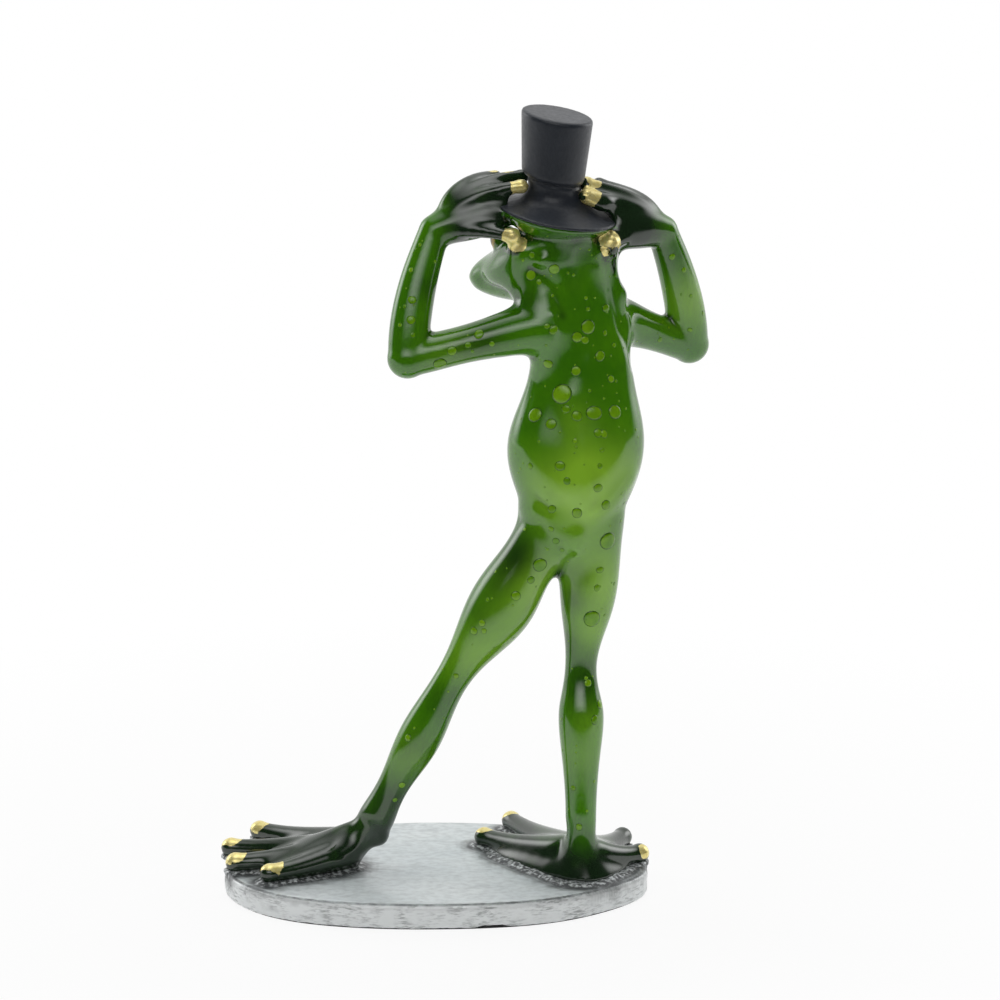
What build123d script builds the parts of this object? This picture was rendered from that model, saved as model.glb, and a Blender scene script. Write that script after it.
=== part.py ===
"""Frog figurine that stands on an oval base and holds its top hat on with both hands.

Resin castings for the trunk, head, arms, legs and hat are glued together over steel: a bent wire runs inside
each limb and crosses its seam, and straight pins hold the head and the hat. The legs' wires end in the base.
Lengths are millimetres and angles degrees. +Z is up, the frog's chest faces +Y and its right hand is at +X.
The origin is on the ground under the middle of the base, and each rise is a height above the base's top.
"""

from build123d import *
from math import cos, pi, radians, sin
import os

# Base plate and the felt under it
BASE_LENGTH = 128.0
BASE_DEPTH = 80.0
BASE_HEIGHT = 7.0
BASE_TOP_ROUND = 1.2
BASE_FOOT_ROUND = 0.6
FELT_THICKNESS = 1.0
FELT_INSET = 1.5
# Round the plate from its right end, as shares of half its length and half its depth
BASE_OUTLINE_SHARES = (
    (1.0, -0.10),
    (0.80, 0.58),
    (0.38, 0.93),
    (-0.10, 1.0),
    (-0.56, 0.84),
    (-0.90, 0.42),
    (-1.0, -0.18),
    (-0.80, -0.70),
    (-0.40, -0.96),
    (0.08, -1.0),
    (0.58, -0.84),
    (0.88, -0.50),
)

# Trunk
BODY_X = 42.0
BODY_Y = -7.0
CROTCH_RISE = 96.0
TRUNK_HEIGHT = 80.0
TRUNK_HALF_WIDTH = 20.3
TRUNK_HALF_DEPTH = 16.0
TRUNK_TWIST = 22.0
# Height, half width, half depth, and how far the middle stands forward and to the right
TRUNK_SHARES = (
    (0.0, 0.16, 0.18, 0.0, -0.04),
    (0.06, 0.44, 0.46, 0.0, -0.05),
    (0.17, 0.68, 0.72, 0.02, -0.05),
    (0.275, 0.86, 0.90, 0.08, -0.03),
    (0.446, 1.0, 1.0, 0.14, 0.0),
    (0.61, 0.86, 0.86, 0.12, 0.05),
    (0.79, 0.735, 0.70, 0.05, 0.06),
    (0.92, 0.67, 0.63, 0.02, 0.02),
    (1.0, 0.645, 0.62, 0.04, 0.0),
)

# Head, turned to the frog's left
HEAD_SHIFT_X = -7.0
HEAD_SHIFT_Y = 4.0
HEAD_LIFT = 10.0
HEAD_TURN = 50.0
HEAD_BACK_LENGTH = 16.0
SNOUT_LENGTH = 29.5
HEAD_HALF_WIDTH = 16.0
HEAD_HALF_HEIGHT = 13.0
# Way from the back of the head to the snout, half width, half height and lift of the middle
HEAD_SHARES = (
    (0.0, 0.30, 0.30, 0.0),
    (0.06, 0.64, 0.62, 0.0),
    (0.20, 0.92, 0.93, 0.0),
    (0.40, 1.0, 1.0, 0.0),
    (0.60, 0.88, 0.80, -0.20),
    (0.80, 0.58, 0.54, -0.44),
    (0.94, 0.38, 0.33, -0.55),
    (1.0, 0.16, 0.14, -0.58),
)
# Way up the neck, half width and half depth as shares of the head's half width
NECK_SHARES = ((0.45, 0.85, 0.70), (1.0, 0.88, 0.75))
NECK_TOP_LIFT = 4.0
NECK_TOP_BACK = 4.5
MOUTH_WIDTH = 0.9
MOUTH_DEPTH = 0.9
MOUTH_DROP = 9.0
MOUTH_CORNER_SHARE = 0.3
EYE_RADIUS = 4.2
EYE_FORWARD = 13.0
EYE_APART = 14.0
EYE_LIFT = 6.0

# Top hat, leaning to the frog's right with its crown set back over the brim
HAT_SHIFT_X = 0.6
HAT_SHIFT_Y = -2.0
HAT_LIFT = 0.9
HAT_LEAN = 10.0
HAT_TIP = 6.5
BRIM_RADIUS = 17.9
BRIM_EDGE = 1.1
BRIM_RISE = 5.4
BRIM_SAG = 1.1
BRIM_WAIST_SHARE = 0.55
SEAT_RISE = 3.6
BAND_FOOT_RADIUS = 6.6
BAND_TOP_RADIUS = 8.8
BAND_HEIGHT = 4.9
CROWN_FOOT_RADIUS = 9.3
CROWN_TOP_RADIUS = 10.6
CROWN_HEIGHT = 18.1
CROWN_TOP_ROUND = 0.7
CROWN_FOOT_ROUND = 0.3
BAND_SHIFT = -1.2
CROWN_SHIFT = -2.9
TOP_SHIFT = -4.9
LEDGE_SETBACK = 0.5
LEDGE_THICKNESS = 5.0
LEDGE_FOOT_SHARE = 0.68

# Legs
LEFT_THIGH_RADIUS = 9.7
RIGHT_THIGH_RADIUS = 8.7
CALF_RADIUS = 5.4
HIP_LIFT = 7.0
LEFT_HIP_X = -9.8
LEFT_HIP_Y = -1.0
LEFT_KNEE_SHARE = 0.5
LEFT_KNEE_OUT = -2.6
LEFT_KNEE_FORWARD = -1.5
LEFT_ANKLE_X = -19.8
LEFT_ANKLE_Y = -5.5
LEFT_ANKLE_RISE = 13.0
RIGHT_HIP_X = 5.0
RIGHT_HIP_Y = 1.0
RIGHT_KNEE_SHARE = 0.42
RIGHT_KNEE_OUT = -2.0
RIGHT_KNEE_FORWARD = 4.0
RIGHT_ANKLE_X = 43.6
RIGHT_ANKLE_Y = -14.5
RIGHT_ANKLE_RISE = 11.0
# Way from the hip to the knee, and radius as a share of the thigh's
THIGH_SHARES = ((-0.24, 0.76), (0.0, 0.98), (0.34, 1.0), (0.70, 0.76), (1.0, 0.53))
# Way from the knee to the ankle, and radius as a share of the calf's; the right heel goes on down to the base
LEFT_SHIN_SHARES = ((0.30, 1.2), (0.55, 1.04), (0.80, 0.88), (1.0, 0.90))
RIGHT_SHIN_SHARES = ((0.24, 1.22), (0.48, 1.12), (0.78, 0.84), (1.0, 0.82), (1.11, 0.92), (1.22, 1.2))

# Feet
FOOT_LENGTH = 50.0
LEFT_FOOT_HEIGHT = 7.2
RIGHT_FOOT_HEIGHT = 5.2
WEB_HALF_WIDTH = 15.0
HEEL_RADIUS = 4.3
ANKLE_SHARE = 0.88
HEEL_BACK = 1.4
HEEL_DROP = 2.0
TOE_RADIUS = 3.2
LEFT_FOOT_HEADING = 176.0
RIGHT_FOOT_HEADING = 90.0
# Way along the foot, half width, half height and lift of the middle over the ground
FOOT_SHARES = ((0.24, 0.46, 0.86, 0.74), (0.46, 0.80, 0.62, 0.40), (0.60, 0.92, 0.36, 0.20))
# Web's edge on the ground: way along each toe, and along the shorter of two toes between them
WEB_TOE_SHARE = 0.74
WEB_DIP_SHARE = 0.64
LEFT_HEEL_SPREAD = 5.0
LEFT_HEEL_FORWARD = 9.0
RIGHT_HEEL_SPREAD = 9.5
RIGHT_HEEL_FORWARD = 1.0
# Way round behind the heel from the last toe to the first
HEEL_WAY_SHARES = (0.25, 0.42, 0.58, 0.75)
# Way up from the ground to the ankle, and how far the web still spreads there
WEB_RISE_SHARES = ((-0.12, 1.08), (0.27, 0.74), (0.58, 0.34), (0.94, 0.0))
WEB_TOP_SHARE = 0.78
# Toes as headings and lengths
LEFT_TOE_SHARES = ((205.0, 0.66), (185.0, 0.82), (166.0, 0.89), (142.0, 0.90))
RIGHT_TOE_SHARES = ((134.0, 0.84), (114.0, 1.02), (66.0, 0.66), (38.0, 0.46))
# Way along a toe, its radius and its middle's height over the ground, both as shares of the tip's radius
TOE_SHARES = ((0.16, 1.4, 2.2), (0.45, 1.25, 1.5), (0.78, 0.98, 1.0), (1.0, 0.88, 0.9))

# Arms
SHOULDER_DROP = 8.0
SHOULDER_OUT = 12.0
RIGHT_SHOULDER_FORWARD = 5.0
UPPER_ARM_RADIUS = 5.8
FOREARM_RADIUS = 5.8
LEFT_FOREARM_BOW = -1.9
RIGHT_FOREARM_BOW = 1.6
ELBOW_RADIUS = 6.0
WRIST_RADIUS = 4.4
LEFT_ELBOW_X = -38.5
LEFT_ELBOW_Y = -4.5
LEFT_ELBOW_DROP = 8.8
RIGHT_ELBOW_X = 24.8
RIGHT_ELBOW_Y = 15.9
RIGHT_ELBOW_DROP = 10.8
LEFT_WRIST_X = -35.2
LEFT_WRIST_Y = -3.0
LEFT_WRIST_DROP = 4.4
RIGHT_WRIST_X = 31.4
RIGHT_WRIST_Y = 11.0
RIGHT_WRIST_DROP = 6.7
# Way from the shoulder to the elbow, and radius as a share of the upper arm's
UPPER_ARM_SHARES = ((-0.12, 1.0), (0.10, 1.24), (0.40, 1.02), (0.72, 0.93), (1.0, 0.94))
# Way from the elbow to the wrist, radius as a share of the forearm's and share of its bow
FOREARM_SHARES = ((0.0, 0.98, 0.0), (0.28, 1.0, 0.8), (0.62, 0.89, 1.0), (1.0, 0.73, 0.0))

# Hands
FINGER_RADIUS = 2.2
FINGER_ARCH = 6.0
THUMB_ARCH = 1.1
THUMB_TIP_RADIUS = 2.5
THUMB_LOBE_RADIUS = 2.0
THUMB_LOBE_DROP = 2.4
THUMB_LOBE_IN = 1.6
PALM_HALF_WIDTH = 8.0
PALM_HALF_DEPTH = 5.2
# Fingertips round the hat: heading, reach and lift as shares of the brim's radius, and share of the arch
LEFT_FINGER_SHARES = ((194.0, 0.66, 0.40, 0.64), (152.0, 0.72, 0.44, 0.90), (150.0, 1.22, 0.28, 1.0))
RIGHT_FINGER_SHARES = ((-26.0, 0.46, 0.43, 0.40), (19.0, 0.42, 0.55, 0.48), (41.0, 0.85, 0.46, 0.55))
LEFT_THUMB_SHARES = (222.0, 0.90, -0.33)
RIGHT_THUMB_SHARES = (-19.0, 1.0, -0.24)
# Way from the wrist to the tip, radius as a share of the finger's, and height as a share of the arch
FINGER_SHARES = ((0.16, 1.35, 0.55), (0.42, 1.15, 1.05), (0.72, 0.86, 0.70), (1.0, 0.84, 0.0))
# Where the palm takes the brim: heading, reach and lift as shares of the brim's radius
LEFT_PALM_SHARES = (174.0, 0.86, 0.03)
RIGHT_PALM_SHARES = (10.0, 0.86, 0.03)
# Way from the wrist to the brim, half width and half depth
PALM_SHARES = ((-0.05, 0.52, 0.80), (0.25, 0.78, 1.08), (0.60, 1.0, 1.22), (1.0, 0.90, 1.08))

# Steel inside
LIMB_WIRE_RADIUS = 1.1
PIN_RADIUS = 2.0
PIN_DEPTH = 8.0
HAT_PIN_RADIUS = 1.5
HAT_PIN_DEPTH = 7.0
WIRE_BEND = 6.0
LEG_WIRE_IN_TRUNK = 13.0
ARM_WIRE_IN_TRUNK = 8.0
WIRE_IN_BASE = 5.0
GLUE_GAP = 0.1
CUT_OVERRUN = 20.0

BASE_TOP = FELT_THICKNESS + BASE_HEIGHT
FORWARD = Vector(0, 1, 0)
UP = Vector(0, 0, 1)
ROUND_STEPS = 8


def heading(angle):
    """Level direction at an angle from +X towards +Y."""
    return Vector(cos(radians(angle)), sin(radians(angle)), 0)


def between(start, end, share):
    """Point part of the way from start to end."""
    return start + (end - start) * share


def oval(middle, wide, high, half_wide, half_high):
    """Oval face round middle, in the plane of two square directions."""
    turns = [2 * pi * step / ROUND_STEPS for step in range(ROUND_STEPS)]
    points = [middle + wide * (half_wide * cos(turn)) + high * (half_high * sin(turn)) for turn in turns]
    return make_face(Spline(points, periodic=True))


def skin(middles, half_wides, half_highs, side):
    """Loft through ovals that stand square to the line of their middles, wide along side."""
    faces = []
    for index, middle in enumerate(middles):
        before = middles[max(index - 1, 0)]
        after = middles[min(index + 1, len(middles) - 1)]
        along = (after - before).normalized()
        wide = (side - along * side.dot(along)).normalized()
        faces.append(oval(middle, wide, along.cross(wide), half_wides[index], half_highs[index]))
    return loft(faces)


def limb(middles, radii, side):
    """Round tapering limb along its middles."""
    return skin(middles, radii, radii, side)


def ball(middle, radius):
    """Ball round a point."""
    return Pos(*middle) * Sphere(radius)


def rod(start, end, radius):
    """Straight round rod between two points."""
    along = end - start
    return extrude(Plane(origin=start, z_dir=along) * Circle(radius), along.length)


def bent_wire(points, radius):
    """Round wire of straight runs with bends."""
    path = FilletPolyline(*points, radius=WIRE_BEND)
    return sweep(Plane(origin=path @ 0, z_dir=path % 0) * Circle(radius), path=path)


# Places that the pieces share
crotch = Vector(BODY_X, BODY_Y, BASE_TOP + CROTCH_RISE)
neck = crotch + UP * TRUNK_HEIGHT
head_middle = neck + Vector(HEAD_SHIFT_X, HEAD_SHIFT_Y, HEAD_LIFT)
gaze = heading(90 + HEAD_TURN)
head_side = gaze.cross(UP)
brim_middle = head_middle + Vector(HAT_SHIFT_X, HAT_SHIFT_Y, HEAD_HALF_HEIGHT + HAT_LIFT)
hat_place = Location(tuple(brim_middle)) * Rotation(HAT_TIP, HAT_LEAN, 0)


def on_hat(angle, reach, lift):
    """Point round the hat: heading, distance from its axis and height over the brim's lower edge."""
    local = heading(angle) * reach + UP * lift
    return (hat_place * Location(tuple(local))).position


def by_brim(angle, reach, lift):
    """Point round the hat, with reach and lift as shares of the brim's radius."""
    return on_hat(angle, BRIM_RADIUS * reach, BRIM_RADIUS * lift)


hat_up = on_hat(0, 0, BRIM_RADIUS) - on_hat(0, 0, 0)
hat_up = hat_up.normalized()
left_shoulder = neck - UP * SHOULDER_DROP - heading(TRUNK_TWIST) * SHOULDER_OUT
right_shoulder = neck - UP * SHOULDER_DROP + heading(TRUNK_TWIST) * SHOULDER_OUT
left_elbow = left_shoulder + Vector(LEFT_ELBOW_X, LEFT_ELBOW_Y, -LEFT_ELBOW_DROP)
right_shoulder = right_shoulder + heading(90 + TRUNK_TWIST) * RIGHT_SHOULDER_FORWARD
right_elbow = right_shoulder + Vector(RIGHT_ELBOW_X, RIGHT_ELBOW_Y, -RIGHT_ELBOW_DROP)
left_wrist = brim_middle + Vector(LEFT_WRIST_X, LEFT_WRIST_Y, -LEFT_WRIST_DROP)
right_wrist = brim_middle + Vector(RIGHT_WRIST_X, RIGHT_WRIST_Y, -RIGHT_WRIST_DROP)
left_hip = crotch + Vector(LEFT_HIP_X, LEFT_HIP_Y, HIP_LIFT)
right_hip = crotch + Vector(RIGHT_HIP_X, RIGHT_HIP_Y, HIP_LIFT)
left_ankle = Vector(LEFT_ANKLE_X, LEFT_ANKLE_Y, BASE_TOP + LEFT_ANKLE_RISE)
right_ankle = Vector(RIGHT_ANKLE_X, RIGHT_ANKLE_Y, BASE_TOP + RIGHT_ANKLE_RISE)
left_knee = between(left_hip, left_ankle, LEFT_KNEE_SHARE) + Vector(LEFT_KNEE_OUT, LEFT_KNEE_FORWARD, 0)
right_knee = between(right_hip, right_ankle, RIGHT_KNEE_SHARE) + Vector(RIGHT_KNEE_OUT, RIGHT_KNEE_FORWARD, 0)


# Base and felt


def plate(half_length, half_depth, bottom, height):
    """Flat plate with the base's outline."""
    points = [Vector(x * half_length, y * half_depth, bottom) for x, y in BASE_OUTLINE_SHARES]
    return extrude(make_face(Spline(points, periodic=True)), height)


def make_felt():
    """Felt sheet glued under the base."""
    return plate(BASE_LENGTH / 2 - FELT_INSET, BASE_DEPTH / 2 - FELT_INSET, 0, FELT_THICKNESS)


def make_base(wires):
    """Oval plate with rounded edges and a socket for each leg's wire."""
    base = plate(BASE_LENGTH / 2, BASE_DEPTH / 2, FELT_THICKNESS, BASE_HEIGHT)
    base = fillet(base.edges().group_by(Axis.Z)[-1], BASE_TOP_ROUND)
    base = fillet(base.edges().group_by(Axis.Z)[0], BASE_FOOT_ROUND)
    return base - wires


# Trunk


def make_trunk():
    """Trunk that swells at the belly and twists towards the shoulders."""
    faces = []
    for rise, wide, deep, forward, aside in TRUNK_SHARES:
        side = heading(TRUNK_TWIST * rise)
        front = UP.cross(side)
        middle = crotch + UP * (TRUNK_HEIGHT * rise) + front * (TRUNK_HALF_DEPTH * forward)
        middle = middle + side * (TRUNK_HALF_WIDTH * aside)
        faces.append(oval(middle, side, front, TRUNK_HALF_WIDTH * wide, TRUNK_HALF_DEPTH * deep))
    return loft(faces)


# Head


def head_form(inset):
    """Head from its back to the snout, drawn in by an inset."""
    length = HEAD_BACK_LENGTH + SNOUT_LENGTH
    middles = []
    wides = []
    highs = []
    for way, wide, high, lift in HEAD_SHARES:
        middles.append(head_middle + gaze * (length * way - HEAD_BACK_LENGTH) + UP * (HEAD_HALF_HEIGHT * lift))
        wides.append(HEAD_HALF_WIDTH * wide - inset)
        highs.append(HEAD_HALF_HEIGHT * high - inset)
    faces = [oval(*row[:1], head_side, UP, *row[1:]) for row in zip(middles, wides, highs)]
    return loft(faces)


def make_mouth():
    """Groove of the mouth round the snout."""
    length = SNOUT_LENGTH + CUT_OVERRUN
    width = 2 * (HEAD_HALF_WIDTH + CUT_OVERRUN)
    slab = Box(length, width, MOUTH_WIDTH, align=(Align.MIN, Align.CENTER, Align.CENTER))
    start = head_middle + gaze * (SNOUT_LENGTH * MOUTH_CORNER_SHARE) - UP * MOUTH_DROP
    slab = Plane(origin=start, x_dir=gaze, z_dir=UP) * slab
    return slab - head_form(MOUTH_DEPTH)


def make_neck():
    """Short neck from the trunk's flat top into the head."""
    _, wide, deep, forward, aside = TRUNK_SHARES[-1]
    side = heading(TRUNK_TWIST)
    front = UP.cross(side)
    foot = neck + front * (TRUNK_HALF_DEPTH * forward) + side * (TRUNK_HALF_WIDTH * aside)
    top = head_middle + UP * NECK_TOP_LIFT - gaze * NECK_TOP_BACK
    faces = [oval(foot, side, front, TRUNK_HALF_WIDTH * wide, TRUNK_HALF_DEPTH * deep)]
    for way, wide, deep in NECK_SHARES:
        faces.append(oval(between(foot, top, way), side, front, HEAD_HALF_WIDTH * wide, HEAD_HALF_WIDTH * deep))
    return loft(faces)


def make_ledge():
    """Rim of the head that the brim is glued to, with a shallow cone on top."""
    radius = BRIM_RADIUS - LEDGE_SETBACK
    edge = SEAT_RISE * LEDGE_SETBACK / BRIM_RADIUS
    foot = (radius * LEDGE_FOOT_SHARE, -LEDGE_THICKNESS)
    corners = [(0, -LEDGE_THICKNESS), foot, (radius, 0), (radius, edge), (0, SEAT_RISE)]
    outline = make_face(Plane.XZ * Polyline(*corners, close=True))
    return hat_place * revolve(outline, Axis.Z)


def make_head(trunk):
    """Head with snout, mouth, bulging eyes, neck and the ledge for the hat."""
    head = head_form(0) + make_neck() + make_ledge()
    for side in (-1, 1):
        eye = head_middle + gaze * EYE_FORWARD + head_side * (side * EYE_APART / 2) + UP * EYE_LIFT
        head = head + ball(eye, EYE_RADIUS)
    return head - make_mouth() - trunk


# Hat


def make_brim():
    """Sloping brim that curls up to the band."""
    edge = (BRIM_RADIUS, BRIM_EDGE)
    foot = (BAND_FOOT_RADIUS, BRIM_EDGE + BRIM_RISE)
    waist = between(Vector(*edge), Vector(*foot), BRIM_WAIST_SHARE) - Vector(0, BRIM_SAG)
    slope = ThreePointArc(edge, (waist.X, waist.Y), foot)
    rest = Polyline(foot, (0, BRIM_EDGE + BRIM_RISE), (0, SEAT_RISE), (BRIM_RADIUS, 0), edge)
    return revolve(make_face(Plane.XZ * (slope + rest)), Axis.Z)


def hat_round(shift, lift, radius):
    """Round of the hat, set off to its side."""
    return Pos(shift, 0, lift) * Circle(radius)


def make_hat():
    """Top hat of one casting: brim, drawn-in band and flaring crown."""
    band_foot = BRIM_EDGE + BRIM_RISE
    crown_foot = band_foot + BAND_HEIGHT
    crown_top = crown_foot + CROWN_HEIGHT
    band = loft([hat_round(0, SEAT_RISE + BRIM_EDGE, BAND_FOOT_RADIUS),
                 hat_round(BAND_SHIFT, band_foot, BAND_FOOT_RADIUS),
                 hat_round(CROWN_SHIFT, crown_foot, BAND_TOP_RADIUS)], ruled=True)
    crown = loft([hat_round(CROWN_SHIFT, crown_foot, CROWN_FOOT_RADIUS),
                  hat_round(TOP_SHIFT, crown_top, CROWN_TOP_RADIUS)])
    crown = fillet(crown.edges().group_by(Axis.Z)[-1], CROWN_TOP_ROUND)
    crown = fillet(crown.edges().group_by(Axis.Z)[0], CROWN_FOOT_ROUND)
    return hat_place * (make_brim() + band + crown)


# Legs and feet


def web_headings(toes):
    """Headings round the foot: toes, the dips between them and the heel, with the web's reach along each toe."""
    rows = []
    for (angle, length), (next_angle, next_length) in zip(toes, toes[1:]):
        rows.append((angle, length * WEB_TOE_SHARE))
        rows.append(((angle + next_angle) / 2, min(length, next_length) * WEB_DIP_SHARE))
    rows.append((toes[-1][0], toes[-1][1] * WEB_TOE_SHARE))
    gap = 360 - toes[0][0] + toes[-1][0]
    return rows + [(toes[-1][0] - gap * way, 0) for way in HEEL_WAY_SHARES]


def make_web(ankle, ahead, spread, forward, toes):
    """Web that falls from the ankle to the toes and flares behind the heel."""
    faces = []
    rise = ankle.Z - BASE_TOP
    for way, share in WEB_RISE_SHARES:
        points = []
        for angle, reach in web_headings(toes):
            top = ankle + heading(angle) * (HEEL_RADIUS * WEB_TOP_SHARE)
            foot = ankle + heading(angle) * (FOOT_LENGTH * reach)
            if reach == 0:
                foot = ankle + ahead * forward + heading(angle) * spread
            points.append(between(top, foot, share) + UP * (rise * (way - 1)))
        faces.append(make_face(Spline(points, periodic=True)))
    return loft(faces)


def make_foot(ankle, angle, height, spread, forward, toes):
    """Webbed foot whose body slopes down from the ankle and spreads into four toes."""
    ahead = heading(angle)
    side = UP.cross(ahead)
    ground = Vector(ankle.X, ankle.Y, BASE_TOP)
    middles = [ankle]
    wides = [HEEL_RADIUS * ANKLE_SHARE]
    highs = [HEEL_RADIUS * ANKLE_SHARE]
    for way, wide, high, lift in FOOT_SHARES:
        middles.append(ground + ahead * (FOOT_LENGTH * way) + UP * (height * lift))
        wides.append(WEB_HALF_WIDTH * wide)
        highs.append(height * high)
    foot = skin(middles, wides, highs, side) + ball(ankle - ahead * HEEL_BACK - UP * HEEL_DROP, HEEL_RADIUS)
    foot = foot + make_web(ankle, ahead, spread, forward, toes)
    for toe_angle, length in toes:
        tip = heading(toe_angle) * (FOOT_LENGTH * length)
        places = [ground + tip * way + UP * (TOE_RADIUS * lift) for way, _, lift in TOE_SHARES]
        radii = [TOE_RADIUS * girth for _, girth, _ in TOE_SHARES]
        foot = foot + limb(places, radii, UP) + ball(places[-1], TOE_RADIUS)
    return foot


def make_leg(hip, knee, ankle, thigh_radius, shin_shares, foot):
    """Leg with a full thigh, a narrow knee and its foot, cut flat on the base."""
    middles = [between(hip, knee, way) for way, _ in THIGH_SHARES]
    radii = [thigh_radius * girth for _, girth in THIGH_SHARES]
    middles += [between(knee, ankle, way) for way, _ in shin_shares]
    radii += [CALF_RADIUS * girth for _, girth in shin_shares]
    leg = limb(middles, radii, FORWARD) + foot
    ground = Pos(0, 0, BASE_TOP - CUT_OVERRUN) * Box(
        BASE_LENGTH * 2, BASE_DEPTH * 2, CUT_OVERRUN, align=(Align.CENTER, Align.CENTER, Align.MIN)
    )
    return leg - ground


# Arms and hands


def make_finger(wrist, tip, arch):
    """Finger that arches from the wrist to its rounded tip."""
    places = [between(wrist, tip, way) + hat_up * (arch * lift) for way, _, lift in FINGER_SHARES]
    radii = [FINGER_RADIUS * girth for _, girth, _ in FINGER_SHARES]
    return limb(places, radii, UP) + ball(tip, FINGER_RADIUS)


def make_thumb(wrist, angle, reach, lift):
    """Thumb that passes under the brim and ends in two lobes against the head."""
    tip = by_brim(angle, reach, lift)
    lobe = on_hat(angle, BRIM_RADIUS * reach - THUMB_LOBE_IN, BRIM_RADIUS * lift - THUMB_LOBE_DROP)
    return make_finger(wrist, tip, THUMB_ARCH) + ball(tip, THUMB_TIP_RADIUS) + ball(lobe, THUMB_LOBE_RADIUS)


def make_hand(wrist, palm, fingers, thumb):
    """Hand whose broad palm takes the brim between three fingers over it and a thumb under it."""
    tips = [by_brim(*shares[:-1]) for shares in fingers]
    grip = by_brim(*palm)
    row = tips[-1] - by_brim(*thumb)
    places = [between(wrist, grip, way) for way, _, _ in PALM_SHARES]
    wides = [PALM_HALF_WIDTH * wide for _, wide, _ in PALM_SHARES]
    deeps = [PALM_HALF_DEPTH * deep for _, _, deep in PALM_SHARES]
    hand = skin(places, wides, deeps, row)
    for tip, shares in zip(tips, fingers):
        hand = hand + make_finger(wrist, tip, FINGER_ARCH * shares[-1])
    return hand + make_thumb(wrist, *thumb)


def make_arm(shoulder, elbow, wrist, bow, hand):
    """Arm bent at the elbow, with its hand."""
    upper = [between(shoulder, elbow, way) for way, _ in UPPER_ARM_SHARES]
    upper_radii = [UPPER_ARM_RADIUS * girth for _, girth in UPPER_ARM_SHARES]
    lower = [between(elbow, wrist, way) + heading(0) * (bow * out) for way, _, out in FOREARM_SHARES]
    lower_radii = [FOREARM_RADIUS * girth for _, girth, _ in FOREARM_SHARES]
    arm = limb(upper, upper_radii, UP) + limb(lower, lower_radii, FORWARD)
    arm = arm + ball(elbow, ELBOW_RADIUS) + ball(wrist, WRIST_RADIUS)
    return arm + hand


# Steel inside


def leg_wire(hip, knee, ankle, angle, height, radius):
    """Wire from the trunk through a leg and its foot into the base."""
    start = hip + (hip - knee).normalized() * LEG_WIRE_IN_TRUNK
    turn = Vector(ankle.X, ankle.Y, BASE_TOP) + heading(angle) * (FOOT_LENGTH * FOOT_SHARES[0][0])
    low = Vector(turn.X, turn.Y, BASE_TOP - WIRE_IN_BASE)
    high = Vector(turn.X, turn.Y, BASE_TOP + height)
    return bent_wire([start, knee, ankle, high, low], radius)


def arm_wire(shoulder, elbow, wrist, radius):
    """Wire from the trunk through the shoulder and elbow to the wrist."""
    start = shoulder + (shoulder - elbow).normalized() * ARM_WIRE_IN_TRUNK
    return bent_wire([start, elbow, wrist], radius)


def neck_pin(radius, extra):
    """Pin up from the trunk into the head."""
    return rod(neck - UP * (PIN_DEPTH + extra), neck + UP * (PIN_DEPTH + extra), radius)


def hat_pin(radius, extra):
    """Pin up from the head into the hat along the hat's axis."""
    seat = on_hat(0, 0, SEAT_RISE)
    return rod(seat - hat_up * (HAT_PIN_DEPTH + extra), seat + hat_up * (HAT_PIN_DEPTH + extra), radius)


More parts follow.
